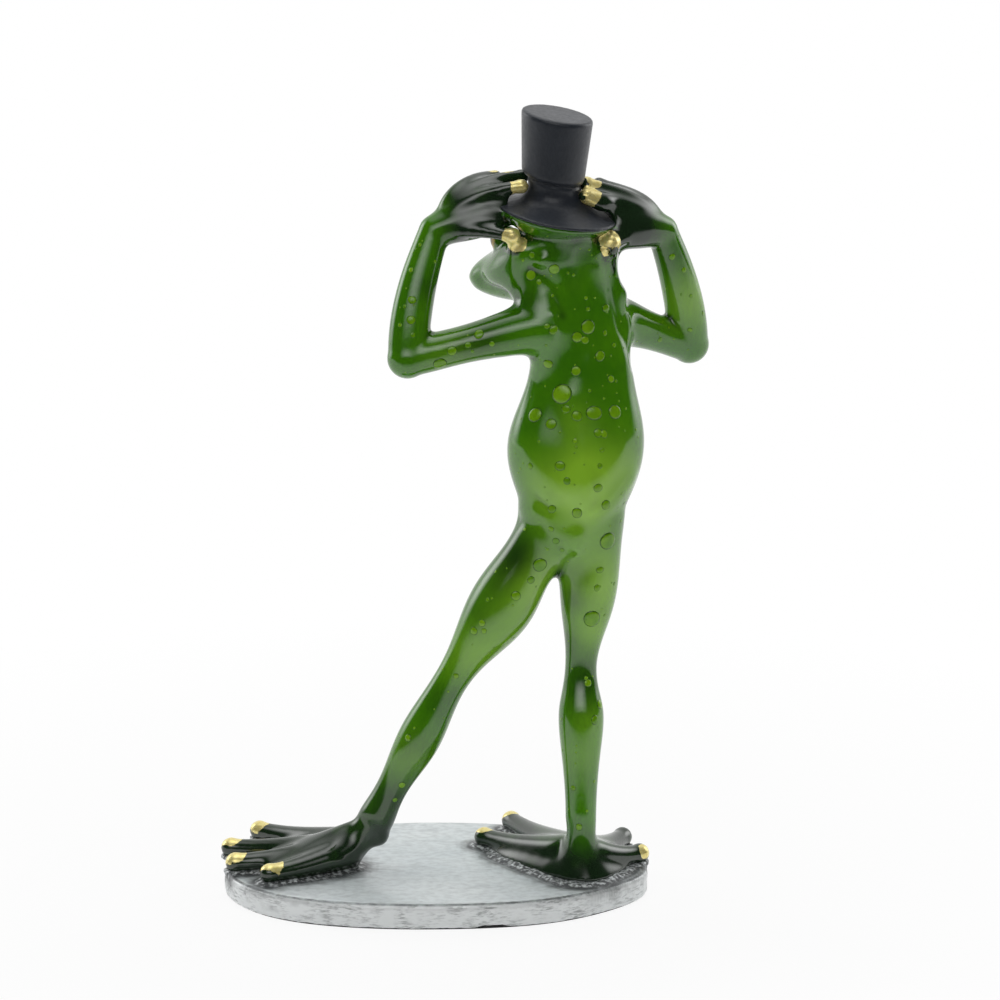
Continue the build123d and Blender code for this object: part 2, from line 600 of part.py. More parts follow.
def main():
    trunk_form = make_trunk()
    head_whole = make_head(trunk_form)
    hat_whole = make_hat()
    head_whole = head_whole - hat_whole
    left_heel = (LEFT_HEEL_SPREAD, LEFT_HEEL_FORWARD)
    right_heel = (RIGHT_HEEL_SPREAD, RIGHT_HEEL_FORWARD)
    left_foot = make_foot(left_ankle, LEFT_FOOT_HEADING, LEFT_FOOT_HEIGHT, *left_heel, LEFT_TOE_SHARES)
    right_foot = make_foot(right_ankle, RIGHT_FOOT_HEADING, RIGHT_FOOT_HEIGHT, *right_heel, RIGHT_TOE_SHARES)
    right_leg = make_leg(right_hip, right_knee, right_ankle, RIGHT_THIGH_RADIUS, RIGHT_SHIN_SHARES, right_foot)
    left_leg = make_leg(left_hip, left_knee, left_ankle, LEFT_THIGH_RADIUS, LEFT_SHIN_SHARES, left_foot)
    right_leg = right_leg - trunk_form
    left_leg = left_leg - trunk_form - right_leg
    left_hand = make_hand(left_wrist, LEFT_PALM_SHARES, LEFT_FINGER_SHARES, LEFT_THUMB_SHARES)
    right_hand = make_hand(right_wrist, RIGHT_PALM_SHARES, RIGHT_FINGER_SHARES, RIGHT_THUMB_SHARES)
    left_arm = make_arm(left_shoulder, left_elbow, left_wrist, LEFT_FOREARM_BOW, left_hand)
    right_arm = make_arm(right_shoulder, right_elbow, right_wrist, RIGHT_FOREARM_BOW, right_hand)
    left_arm = left_arm - trunk_form - head_whole - hat_whole
    right_arm = right_arm - trunk_form - head_whole - hat_whole

    left_leg_wire = (left_hip, left_knee, left_ankle, LEFT_FOOT_HEADING, LEFT_FOOT_HEIGHT)
    right_leg_wire = (right_hip, right_knee, right_ankle, RIGHT_FOOT_HEADING, RIGHT_FOOT_HEIGHT)
    left_arm_wire = (left_shoulder, left_elbow, left_wrist)
    right_arm_wire = (right_shoulder, right_elbow, right_wrist)
    bore = LIMB_WIRE_RADIUS + GLUE_GAP
    left_leg_bore = leg_wire(*left_leg_wire, bore)
    right_leg_bore = leg_wire(*right_leg_wire, bore)
    left_arm_bore = arm_wire(*left_arm_wire, bore)
    right_arm_bore = arm_wire(*right_arm_wire, bore)
    neck_bore = neck_pin(PIN_RADIUS + GLUE_GAP, GLUE_GAP)
    hat_bore = hat_pin(HAT_PIN_RADIUS + GLUE_GAP, GLUE_GAP)

    pieces = {
        "felt_pad": make_felt(),
        "base_plinth": make_base([left_leg_bore, right_leg_bore]),
        "left_leg": left_leg - left_leg_bore,
        "right_leg": right_leg - right_leg_bore,
        "torso": trunk_form - [left_leg_bore, right_leg_bore, left_arm_bore, right_arm_bore, neck_bore],
        "head": head_whole - [neck_bore, hat_bore],
        "left_arm": left_arm - left_arm_bore,
        "right_arm": right_arm - right_arm_bore,
        "hat": hat_whole - hat_bore,
        "left_leg_wire": leg_wire(*left_leg_wire, LIMB_WIRE_RADIUS),
        "right_leg_wire": leg_wire(*right_leg_wire, LIMB_WIRE_RADIUS),
        "left_arm_wire": arm_wire(*left_arm_wire, LIMB_WIRE_RADIUS),
        "right_arm_wire": arm_wire(*right_arm_wire, LIMB_WIRE_RADIUS),
        "neck_pin": neck_pin(PIN_RADIUS, 0),
        "hat_pin": hat_pin(HAT_PIN_RADIUS, 0),
    }
    os.makedirs("parts", exist_ok=True)
    for name, shape in pieces.items():
        export_step(shape, f"parts/{name}.step")
        print(name, len(shape.solids()), round(shape.volume, 1))


main()
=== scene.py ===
"""Looks of the frog figurine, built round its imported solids.

The green castings get one lacquered skin with filled and rounded seams, as on the painted original. It is cut
into a closed piece for each casting. The hat and the base are redrawn from their own solids with softer,
hand-finished edges. Lengths are metres. +Z is up, the frog's chest faces +Y and its right hand is at +X.
Pixels are places in the photograph's frame. Noise scales are cycles to the metre. A pair of shares is a start
and an end.
"""

from math import cos, pi, radians, sin

import bpy
import numpy as np
import openvdb as vdb
from mathutils import Matrix, Vector, noise
from mathutils.bvhtree import BVHTree


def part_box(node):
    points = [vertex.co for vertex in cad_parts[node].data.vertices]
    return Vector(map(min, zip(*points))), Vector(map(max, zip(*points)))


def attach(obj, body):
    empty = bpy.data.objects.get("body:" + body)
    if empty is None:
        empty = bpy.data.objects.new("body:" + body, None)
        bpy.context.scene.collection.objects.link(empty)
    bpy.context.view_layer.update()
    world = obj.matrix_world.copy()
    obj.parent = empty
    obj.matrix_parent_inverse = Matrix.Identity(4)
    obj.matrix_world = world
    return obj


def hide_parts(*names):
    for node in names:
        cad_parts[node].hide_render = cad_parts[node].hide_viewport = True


# Camera
IMAGE_PIXELS = 1000
SENSOR_WIDTH = 36.0
LENS_LENGTH = 135.0
CAMERA_RISE = radians(13)
CAMERA_DISTANCE = 1.1175
CAMERA_AIM = Vector((0.0193, 0, 0.12119))

# Distance fields
SKIN_VOXEL = 0.0006
HAT_VOXEL = 0.0004
BASE_VOXEL = 0.0007
GRID_MARGIN = 15
BAND_VOXELS = 13

# Smoothing of meshes
RELAX_ROUNDS = 6
RELAX_STEPS = (0.5, -0.52)
CALM_STEP = 0.6
CALM_FULL_SHARE = 1 / 8

# Skin
NECK_FILLET = 0.0070
SHOULDER_FILLET = 0.0055
HIP_FILLET = 0.0050
TOUCH_FILLET = 0.0008
NECK_TOP = 0.195
NECK_FADE = 0.010
WIRE_FILL = 0.0004
WEB_RADIUS = 0.0017
FOOT_TOP = 0.026
HAND_FOOT = 0.198
WEB_FADE = 0.008
SKIN_SOFTENING = 2
SKIN_NODES = ("torso", "head", "left_arm", "right_arm", "left_leg", "right_leg")
ISLAND_ROUNDS = 4
WIRE_NODES = ("left_leg_wire", "right_leg_wire", "left_arm_wire", "right_arm_wire", "neck_pin")

# Finger flesh that closes the gap over the brim: pixel and radius
FINGER_FILLS = (((598, 203), 0.0018), ((605, 204), 0.0020))
FINGER_FILLET = 0.0020

# Smooth sheets of back and nape: middle, half width, half height and the share where each starts to fade
BACK_SHEETS = (
    (Vector((0.041, -0.016, 0.166)), 0.021, 0.042, 0.35),
    (Vector((0.041, -0.016, 0.182)), 0.020, 0.019, 0.65),
)
BACK_FACING_SHARES = (0.25, 0.5)
BACK_CALMING = 900

# Nape that leans forward under the brim
LEAN_MIDDLE = 0.041
NAPE_LEAN = 0.0046
LEAN_FOOT = 0.158
LEAN_TOP = 0.192
LEAN_FADE = 0.010
LEAN_HALF_WIDTH = 0.019
JAW_BACK = -0.0190
NAPE_BACK = -0.0172

# Creases between castings that filler smooths: pixel and radius
CALM_SPOTS = (
    ((533, 294), 0.008), ((562, 518), 0.009), ((545, 300), 0.006), ((560, 253), 0.006), ((586, 253), 0.006),
    ((574, 857), 0.014), ((362, 836), 0.009), ((350, 848), 0.008),
)
CALM_CORE_SHARE = 1 / 3
CREASE_CALMING = 120

# Relief of the skin: path in pixels, half width and rise
RELIEF_STROKES = (
    (((580, 240), (580, 285), (580, 315), (578, 345), (574, 372)), 0.0030, -0.0005),
    (((572, 398), (579, 440), (585, 480), (588, 512)), 0.0028, 0.0005),
    (((537, 272), (553, 288), (564, 315)), 0.0028, -0.0011),
    (((604, 250), (613, 290), (621, 330), (632, 365)), 0.0020, -0.0006),
    (((577, 546), (602, 512), (630, 478)), 0.0034, 0.0008),
    (((536, 496), (547, 507)), 0.0020, -0.0005),
    (((518, 520), (540, 526), (560, 548)), 0.0022, -0.0006),
    (((480, 282), (490, 289), (503, 294)), 0.0032, -0.0016),
)

# Hollows painted darker, as painted shade
CREASE_ROUNDS = 6
CREASE_SHALLOW = 0.000004
CREASE_DEEP = 0.00003

# Eyes, in the frame of the head that is turned to the frog's left
HEAD_MIDDLE = Vector((0.0350, -0.0030, 0.1940))
GAZE = Vector((cos(radians(140)), sin(radians(140)), 0))
EYE_FORWARD = 0.013
EYE_OUT = 0.007
EYE_LIFT = 0.006
EYE_RADIUS = 0.0042
IRIS_RADIUS = 0.0034
PUPIL_RADIUS = 0.0019
EYE_EDGE_SHARES = (0.85, 1.0)

# Near-black shading: heights and reach of the hands' and heights of the feet's
HAND_MIDDLE = 0.0355
HAND_DUSK_FOOT = 0.190
HAND_DUSK_TOP = 0.200
HAND_DUSK_NEAR = 0.026
HAND_DUSK_FAR = 0.038
LEFT_FOOT_DUSK = (0.014, 0.046)
RIGHT_FOOT_DUSK = (0.012, 0.030)
FEET_APART = 0.020

# Gilded tips: pixel, radius and depth behind what the pixel shows
GILDED_TIPS = (
    ((519, 187), 0.0027, 0.0027), ((505, 172), 0.0025, 0.0025), ((489, 171), 0.0024, 0.0024),
    ((513, 237), 0.0029, 0.0029), ((518, 245), 0.0024, 0.0024),
    ((590, 196), 0.0029, 0.0029), ((591, 183), 0.0027, 0.0027),
    ((609, 242), 0.0029, 0.0029), ((604, 248), 0.0022, 0.0022),
    ((272, 868), 0.0032, 0.0032), ((236, 858), 0.0032, 0.0032), ((233, 842), 0.0032, 0.0032),
    ((262, 826), 0.0032, 0.0032), ((487, 830), 0.0032, 0.0032), ((512, 813), 0.0032, 0.0032),
    ((642, 852), 0.0020, 0.0020), ((630, 839), 0.0030, 0.0060),
)
GILD_EDGE_SHARES = (0.9, 1.5)

# Yellow-green glow under the lacquer, partly painted highlight: pixel, radius and strength
GLOW_AND_HIGHLIGHT_SPOTS = (
    ((578, 500), 0.012, 0.9), ((582, 460), 0.007, 0.5), ((575, 420), 0.006, 0.35),
    ((530, 600), 0.010, 0.5), ((500, 640), 0.010, 0.4), ((603, 590), 0.008, 0.7), ((595, 630), 0.007, 0.6),
    ((692, 300), 0.009, 0.6), ((450, 355), 0.010, 0.25), ((585, 760), 0.008, 0.25), ((410, 760), 0.008, 0.3),
    ((540, 575), 0.008, 0.5), ((470, 660), 0.008, 0.4), ((600, 560), 0.008, 0.4), ((590, 720), 0.006, 0.3),
    ((620, 470), 0.009, 0.6), ((540, 480), 0.008, 0.3), ((587, 480), 0.004, 0.4), ((590, 505), 0.005, 0.4),
)

# Dark paint with painted shade and painted dark reflection under the lacquer: pixel, radius and strength
DARK_PAINT_AND_SHADE_SPOTS = (
    ((520, 548), 0.007, 0.7), ((508, 566), 0.006, 0.5), ((494, 586), 0.005, 0.35), ((478, 612), 0.005, 0.25),
    ((577, 575), 0.0045, 0.3), ((572, 600), 0.004, 0.5), ((567, 640), 0.004, 0.5),
    ((583, 672), 0.008, 0.45), ((586, 690), 0.007, 0.35), ((440, 700), 0.006, 0.4), ((415, 745), 0.006, 0.3),
    ((390, 800), 0.010, 0.6), ((487, 338), 0.006, 0.6), ((465, 350), 0.005, 0.4), ((428, 290), 0.004, 0.5),
    ((555, 243), 0.006, 0.5), ((590, 240), 0.008, 0.5), ((668, 262), 0.005, 0.4), ((530, 300), 0.005, 0.4),
)

# Water drops: pixel and diameter
DROPS = (
    ((562, 394), 0.0060), ((594, 413), 0.0046), ((615, 412), 0.0042), ((535, 415), 0.0044),
    ((588, 327), 0.0044), ((566, 409), 0.0026), ((577, 416), 0.0032), ((551, 424), 0.0034),
    ((577, 337), 0.0034), ((585, 340), 0.0024), ((554, 330), 0.0030), ((547, 326), 0.0018),
    ((531, 275), 0.0032), ((539, 282), 0.0018), ((554, 269), 0.0034), ((532, 255), 0.0020),
    ((548, 364), 0.0030), ((576, 371), 0.0030), ((600, 356), 0.0032), ((606, 308), 0.0026),
    ((605, 333), 0.0016), ((614, 345), 0.0014), ((568, 273), 0.0010), ((586, 298), 0.0012),
    ((588, 309), 0.0014), ((611, 379), 0.0022), ((616, 381), 0.0010), ((598, 433), 0.0026),
    ((604, 434), 0.0024), ((602, 450), 0.0014), ((560, 466), 0.0030), ((567, 481), 0.0022),
    ((600, 466), 0.0016), ((598, 488), 0.0028), ((606, 505), 0.0030), ((530, 466), 0.0020),
    ((552, 509), 0.0026), ((577, 513), 0.0032), ((575, 441), 0.0016), ((560, 432), 0.0010),
    ((608, 541), 0.0056), ((592, 619), 0.0054), ((540, 565), 0.0044), ((516, 596), 0.0030),
    ((531, 580), 0.0024), ((556, 541), 0.0022), ((551, 529), 0.0018), ((562, 550), 0.0014),
    ((600, 570), 0.0022), ((597, 588), 0.0020), ((482, 623), 0.0022), ((474, 631), 0.0024),
    ((484, 631), 0.0018), ((456, 676), 0.0018), ((489, 653), 0.0010), ((600, 704), 0.0032),
    ((595, 720), 0.0028), ((588, 683), 0.0024), ((586, 678), 0.0012), ((573, 788), 0.0018),
    ((579, 827), 0.0022), ((408, 738), 0.0022), ((402, 785), 0.0022), ((395, 800), 0.0016),
    ((452, 351), 0.0030), ((440, 364), 0.0042), ((479, 334), 0.0030), ((468, 345), 0.0020),
    ((492, 344), 0.0018), ((412, 300), 0.0026), ((411, 320), 0.0028), ((413, 335), 0.0016),
    ((400, 325), 0.0014), ((411, 270), 0.0016), ((684, 270), 0.0018), ((672, 257), 0.0022),
    ((690, 330), 0.0016), ((660, 340), 0.0018), ((703, 313), 0.0014),
)
HIDDEN_DROPS = 80
DROP_LEAST = 0.0012
DROP_SPREAD = 0.0040
SMALL_DROPS = 150
SMALL_LEAST = 0.0006
SMALL_SPREAD = 0.0007
DROP_SEED = 11
DROP_FACING = 0.35
DROP_DUSK_LIMIT = 0.1
DROP_POWER = 3
DROP_STRETCH_SHARES = (0.92, 1.12)
DROP_RISE_SHARE = 0.11
DROP_ROUND = 28
DROP_RINGS = 6

# Hat, whose crown meets its band in a groove
HAT_SOFTENING = 2
HAT_FILL = 0.0044
HAT_TIP = radians(6.5)
HAT_LEAN = radians(10)
GROOVE_PIXEL = (552, 187)
GROOVE_HALF_WIDTH = 0.0005
GROOVE_DEPTH = 0.0006

# Base, with a rim round the felt that is notched where the felt shows
RIM_DROP = 0.0007
RIM_CLEAR = 0.0002
NOTCH_PIXEL = (494, 925)
NOTCH_HALF = 0.0042
ROUGH_SCALE = 420
ROUGH_OCTAVES = 4
ROUGH_SIDE = 0.00016
ROUGH_TOP = 0.00003
ROUGH_BEAD = 0.00035
BASE_SOFTENING = 1
BASE_RELAX_ROUNDS = 2
LEVEL_SHARES = (0.6, 0.95)
EDGE_RISE_SHARES = (0.55, 0.9)
EDGE_FALL_SHARES = (0.97, 0.998)
BEAD_REACH = 0.0012
BEAD_HEIGHT = 0.0009
# reach of the dark wash round the feet, partly painted shade
WASH_AND_SHADE_REACH = 0.0095
BEAD_FILLET = 0.0012

# Lacquer
LACQUER_IOR = 1.7
GREEN_DARK = (0.045, 0.20, 0.0005)
GREEN_LIGHT = (0.080, 0.28, 0.0010)
# lighter yellow-green paint, partly painted highlight
GLOW_AND_HIGHLIGHT_COLOUR = (0.30, 0.60, 0.03)
# dark paint, partly painted shade and painted dark reflection
DARK_PAINT_AND_SHADE_COLOUR = (0.012, 0.050, 0.003)
# painted shade in the hollows
CREASE_SHADE_COLOUR = (0.010, 0.050, 0.001)
DUSK_COLOUR = (0.009, 0.026, 0.008)
IRIS_COLOUR = (0.55, 0.36, 0.03)
PUPIL_COLOUR = (0.004, 0.004, 0.004)
GOLD_DARK = (0.95, 0.78, 0.25)
GOLD_LIGHT = (1.0, 0.90, 0.42)
MOTTLE_SCALE = 70
DUSK_SCALE = 120
RUB_SCALE = 700
GOLD_SCALE = 1500

# Drop lacquer
DROP_IOR = 1.5
DROP_DARK = (0.120, 0.32, 0.002)
DROP_LIGHT = (0.22, 0.46, 0.008)
# painted shade round the foot of each drop
DROP_RIM_SHADE_COLOUR = (0.016, 0.080, 0.001)
DROP_TINT_SCALE = 160

# Hat paint
HAT_DARK = (0.017, 0.022, 0.030)
HAT_LIGHT = (0.028, 0.034, 0.045)
HAT_GRAIN_SCALE = 700
HAT_PATCH_SCALE = 90
HAT_GRAIN_DEPTH = 0.0003

# Antique silver paint
SILVER_DARK = (0.70, 0.76, 0.78)
SILVER_LIGHT = (0.82, 0.87, 0.88)
SILVER_BRUSHED = (0.34, 0.37, 0.38)
# painted light: the sides paler than the top, as if lit more
SILVER_SIDE_PAINTED_LIGHT = (0.90, 0.93, 0.93)
SILVER_CREST = (0.80, 0.84, 0.85)
SCUFF_COLOUR = (0.10, 0.11, 0.115)
# dark wash round the feet, partly painted shade and painted reflection of the feet; also the dark line along
# the top edge
WASH_AND_SHADE_COLOUR = (0.055, 0.06, 0.062)
STREAK_SCALE = 60
BRUSH_SCALE = 640
SPECK_SCALE = 2000
PATCH_SCALE = 130
CLOUD_SCALE = 230
LINE_SCALE = 260
CRUMB_SCALE = 800
SILVER_GRAIN_SCALE = 900
SILVER_GRAIN_DEPTH = 0.0004

# Felt and steel
FELT_DARK = (0.008, 0.008, 0.008)
FELT_LIGHT = (0.035, 0.035, 0.036)
FUZZ_SCALE = 2600
FUZZ_DEPTH = 0.0006
STEEL_DARK = (0.42, 0.42, 0.43)
STEEL_LIGHT = (0.62, 0.62, 0.63)
DRAWN_SCALE = 1500

# Studio
FLOOR_FRONT = -0.48
FLOOR_BACK = 3.0
FLOOR_FADE = 0.30
FLOOR_HALF = 2.5
FADE_START = 0.10
FADE_END = 0.32
FADE_LEAST = 0.90
FLOOR_COLOUR = (0.9, 0.9, 0.9, 1)
WORLD_BOUNDS = (0.2, 0.7)
WORLD_STRENGTHS = (0.03, 0.9)
SOFT_EDGE_SHARE = 0.4
LIGHT_TARGET = Vector((0.03, 0, 0.14))

# Soft boxes: name, place, width, height and radiance
SOFT_BOXES = (
    ("front_box", Vector((-0.1, -1.5, 1.05)), 2.6, 1.2, 2.4),
    ("left_box", Vector((-1.05, 0.55, 0.55)), 0.9, 1.2, 3.1),
    ("right_box", Vector((1.05, 0.6, 0.55)), 0.9, 1.2, 3.1),
    ("top_box", Vector((0, 0.1, 1.5)), 2.0, 1.8, 2.3),
)

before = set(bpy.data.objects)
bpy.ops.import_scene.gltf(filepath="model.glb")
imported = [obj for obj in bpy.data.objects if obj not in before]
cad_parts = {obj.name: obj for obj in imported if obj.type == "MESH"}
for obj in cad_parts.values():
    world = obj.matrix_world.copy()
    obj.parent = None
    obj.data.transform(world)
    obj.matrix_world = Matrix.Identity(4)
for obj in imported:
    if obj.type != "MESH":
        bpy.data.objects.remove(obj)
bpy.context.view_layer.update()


# Camera


def make_camera():
    """Camera at the photograph's place."""
    data = bpy.data.cameras.new("camera")
    data.sensor_width = SENSOR_WIDTH
    data.lens = LENS_LENGTH
    camera = bpy.data.objects.new("camera", data)
    turn = Matrix.Rotation(radians(90) - CAMERA_RISE, 4, "X")
    back = turn.to_3x3() @ Vector((0, 0, CAMERA_DISTANCE))
    camera.matrix_world = Matrix.Translation(CAMERA_AIM + back) @ turn
    bpy.context.scene.collection.objects.link(camera)
    bpy.context.scene.camera = camera
    return camera


def sight(camera, pixel):
    """Start and direction of the line of sight through a pixel."""
    reach = SENSOR_WIDTH / LENS_LENGTH
    across = (pixel[0] / IMAGE_PIXELS - 0.5) * reach
    above = (0.5 - pixel[1] / IMAGE_PIXELS) * reach
    along = camera.matrix_world.to_3x3() @ Vector((across, above, -1))
    return camera.matrix_world.translation, along.normalized()


def seen(camera, tree, pixel):
    """Place on a surface that a pixel shows, its normal and the line of sight there."""
    start, along = sight(camera, pixel)
    place, normal, _, _ = tree.ray_cast(start, along)
    if place is None:
        middle = start + along * CAMERA_DISTANCE
        place, normal, _, _ = tree.find_nearest(middle)
    return place, normal, along


# Distance fields


def shared_grid(nodes, voxel):
    """Voxel size, first voxel and voxel counts of a box round some nodes."""
    lows = np.array([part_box(node)[0] for node in nodes]).min(axis=0)
    highs = np.array([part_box(node)[1] for node in nodes]).max(axis=0)
    start = np.floor(lows / voxel).astype(int) - GRID_MARGIN
    count = np.ceil(highs / voxel).astype(int) + GRID_MARGIN - start
    return voxel, tuple(start.tolist()), tuple(count.tolist())


def field_of(grid, places, **faces):
    """Signed distance to a mesh at each voxel, negative inside."""
    voxel, start, count = grid
    level = vdb.FloatGrid.createLevelSetFromPolygons(
        places.astype(np.float32),
        transform=vdb.createLinearTransform(voxelSize=voxel),
        halfWidth=BAND_VOXELS,
        **{kind: corners.astype(np.uint32) for kind, corners in faces.items()},
    )
    field = np.empty(count, np.float32)
    level.copyToArray(field, ijk=start)
    return field


def distance(node, grid):
    """Signed distance to a node's surface at each voxel."""
    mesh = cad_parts[node].data
    mesh.calc_loop_triangles()
    places = np.empty(len(mesh.vertices) * 3, np.float32)
    mesh.vertices.foreach_get("co", places)
    corners = np.empty(len(mesh.loop_triangles) * 3, np.int32)
    mesh.loop_triangles.foreach_get("vertices", corners)
    return field_of(grid, places.reshape(-1, 3), triangles=corners.reshape(-1, 3))


def joined(first, second, fillet):
    """Union of two fields whose seam is rounded."""
    near = np.clip(fillet - np.abs(first - second), 0, None) / fillet
    return np.minimum(first, second) - near * near * (fillet / 4)


def softened(field, rounds):
    """Field averaged with its neighbours."""
    for _ in range(rounds):
        for axis in range(3):
            field = (np.roll(field, 1, axis) + np.roll(field, -1, axis) + field * 2) / 4
    return field


def surface(field, grid):
    """Corners and quads of a field's zero surface."""
    voxel, start, _ = grid
    level = vdb.FloatGrid(BAND_VOXELS * voxel)
    level.copyFromArray(np.ascontiguousarray(field, np.float32), ijk=start)
    level.transform = vdb.createLinearTransform(voxelSize=voxel)
    places, quads = level.convertToQuads()
    return places.astype(float), quads.astype(np.int32)


def heights(grid):
    """Height of each voxel layer."""
    voxel, start, count = grid
    return (start[2] + np.arange(count[2])) * voxel


def webbed(field, grid, radius):
    """Field whose narrow gaps are filled."""
    places, quads = surface(field - radius, grid)
    return field_of(grid, places, quads=quads) + radius


def at_places(field, grid, places):
    """Field's value in the voxel nearest to each place."""
    voxel, start, count = grid
    index = np.rint(places / voxel).astype(int) - np.array(start)
    index = np.clip(index, 0, np.array(count) - 1)
    return field[index[:, 0], index[:, 1], index[:, 2]]


# Meshes


def sides_of(quads):
    """Sides of all quads, in the direction that each quad runs."""
    return np.concatenate([quads[:, [0, 1]], quads[:, [1, 2]], quads[:, [2, 3]], quads[:, [3, 0]]])


def edge_pairs(quads):
    """Each edge of a quad mesh once."""
    return np.unique(np.sort(sides_of(quads), axis=1), axis=0)


def face_pairs(quads):
    """Pairs of quads that share an edge."""
    _, edge = np.unique(np.sort(sides_of(quads), axis=1), axis=0, return_inverse=True)
    edge = edge.ravel()
    order = np.argsort(edge, kind="stable")
    face = np.tile(np.arange(len(quads)), 4)[order]
    same = edge[order][1:] == edge[order][:-1]
    return np.stack([face[:-1][same], face[1:][same]], axis=1)


def islands(count, pairs):
    """Lowest face number in the island of each face."""
    label = np.arange(count)
    while len(pairs):
        ends = label[pairs]
        np.minimum.at(label, ends.max(axis=1), ends.min(axis=1))
        while (label[label] != label).any():
            label = label[label]
        pairs = pairs[label[pairs[:, 0]] != label[pairs[:, 1]]]
    return label


def outer_shell(places, quads):
    """Largest island of a mesh, without the hollows inside it."""
    label = islands(len(quads), face_pairs(quads))
    corners, kept = np.unique(quads[label == np.bincount(label).argmax()], return_inverse=True)
    return places[corners], kept.reshape(-1, 4)


def rim_loops(quads):
    """Loops of corners along the open edges of a shell."""
    sides = sides_of(quads)
    span = int(quads.max()) + 1
    inner = np.isin(sides[:, 1] * span + sides[:, 0], sides[:, 0] * span + sides[:, 1])
    ends = {}
    for start, end in sides[~inner].tolist():
        ends.setdefault(start, []).append(end)
    loops = []
    while ends:
        trail = [next(iter(ends))]
        while trail[-1] in ends:
            last = trail[-1]
            here = ends[last].pop()
            if not ends[last]:
                del ends[last]
            if here in trail:
                cut = trail.index(here)
                loops.append(trail[cut:])
                trail = trail[:cut]
            trail.append(here)
    return loops


def neighbour_mean(values, edges):
    """Mean of each corner's neighbours."""
    count = len(values)
    tally = np.bincount(edges.ravel(), minlength=count)
    total = np.empty_like(values)
    for axis in range(values.shape[1]):
        column = values[:, axis]
        total[:, axis] = np.bincount(edges[:, 0], column[edges[:, 1]], count)
        total[:, axis] += np.bincount(edges[:, 1], column[edges[:, 0]], count)
    return total / tally[:, None]


def relaxed(places, quads, rounds):
    """Corners smoothed without shrinking."""
    edges = edge_pairs(quads)
    for _ in range(rounds):
        for step in RELAX_STEPS:
            places = places + (neighbour_mean(places, edges) - places) * step
    return places


def calmed(places, quads, shares, rounds):
    """Corners drawn to a smooth sheet where their shares are above 0."""
    edges = edge_pairs(quads)
    edges = edges[(shares[edges] > 0).any(axis=1)]
    chosen, short = np.unique(edges, return_inverse=True)
    short = short.reshape(-1, 2)
    sheet = places[chosen]
    share = shares[chosen][:, None]
    pull = np.minimum(share / CALM_FULL_SHARE, 1) * CALM_STEP
    for _ in range(rounds):
        sheet = sheet + (neighbour_mean(sheet, short) - sheet) * pull
    places = places.copy()
    places[chosen] += (sheet - places[chosen]) * share
    return places


def corner_normals(places, quads):
    """Outward normal at each corner."""
    across = places[quads[:, 2]] - places[quads[:, 0]]
    along = places[quads[:, 3]] - places[quads[:, 1]]
    faces = np.cross(across, along)
    normals = np.zeros_like(places)
    for corner in range(4):
        for axis in range(3):
            normals[:, axis] += np.bincount(quads[:, corner], faces[:, axis], len(places))
    return normals / np.maximum(np.linalg.norm(normals, axis=1), 1e-20)[:, None]


def mesh_object(name, places, faces):
    """Smooth-shaded mesh object."""
    mesh = bpy.data.meshes.new(name)
    mesh.from_pydata(places.tolist(), [], faces if isinstance(faces, list) else faces.tolist())
    mesh.polygons.foreach_set("use_smooth", np.ones(len(faces), bool))
    piece = bpy.data.objects.new(name, mesh)
    bpy.context.scene.collection.objects.link(piece)
    return piece


def add_attribute(piece, name, values):
    """Number at each corner, for the paint to read."""
    attribute = piece.data.attributes.new(name, "FLOAT", "POINT")
    attribute.data.foreach_set("value", np.ascontiguousarray(values, np.float32))


def path_distance(places, path):
    """Distance of each place from a path of straight runs."""
    best = np.full(len(places), np.inf)
    for start, end in zip(path[:-1], path[1:]):
        run = end - start
        way = np.clip((places - start) @ run / (run @ run), 0, 1)
        best = np.minimum(best, np.linalg.norm(places - start - way[:, None] * run, axis=1))
    return best


def smooth_step(values, low, high):
    """Rise from 0 at low to 1 at high."""
    way = np.clip((values - low) / (high - low), 0, 1)
    return way * way * (3 - 2 * way)


# Paint


class Nodes:
    """Node tree whose nodes are added one at a time."""

    def __init__(self, tree):
        self.tree = tree

    def add(self, kind, inputs=None, **settings):
        """Adds a node, sets it and links or sets its inputs."""
        node = self.tree.nodes.new("ShaderNode" + kind)
        for name, value in settings.items():
            setattr(node, name, value)
        self.fill(node, inputs or {})
        return node

    def fill(self, node, inputs):
        """Links or sets a node's inputs."""
        for name, value in inputs.items():
            if isinstance(value, bpy.types.Node):
                value = value.outputs[0]
            if isinstance(value, bpy.types.NodeSocket):
                self.tree.links.new(value, node.inputs[name])
            else:
                node.inputs[name].default_value = value

    def ramp(self, value, low, high, start=0.0, end=1.0):
        """Value mapped from one range to another."""
        limits = {"Value": value, "From Min": low, "From Max": high, "To Min": start, "To Max": end}
        return self.add("MapRange", limits).outputs["Result"]

    def combine(self, operation, first, second):
        """Two numbers added, multiplied or compared."""
        return self.add("Math", {0: first, 1: second}, operation=operation).outputs[0]


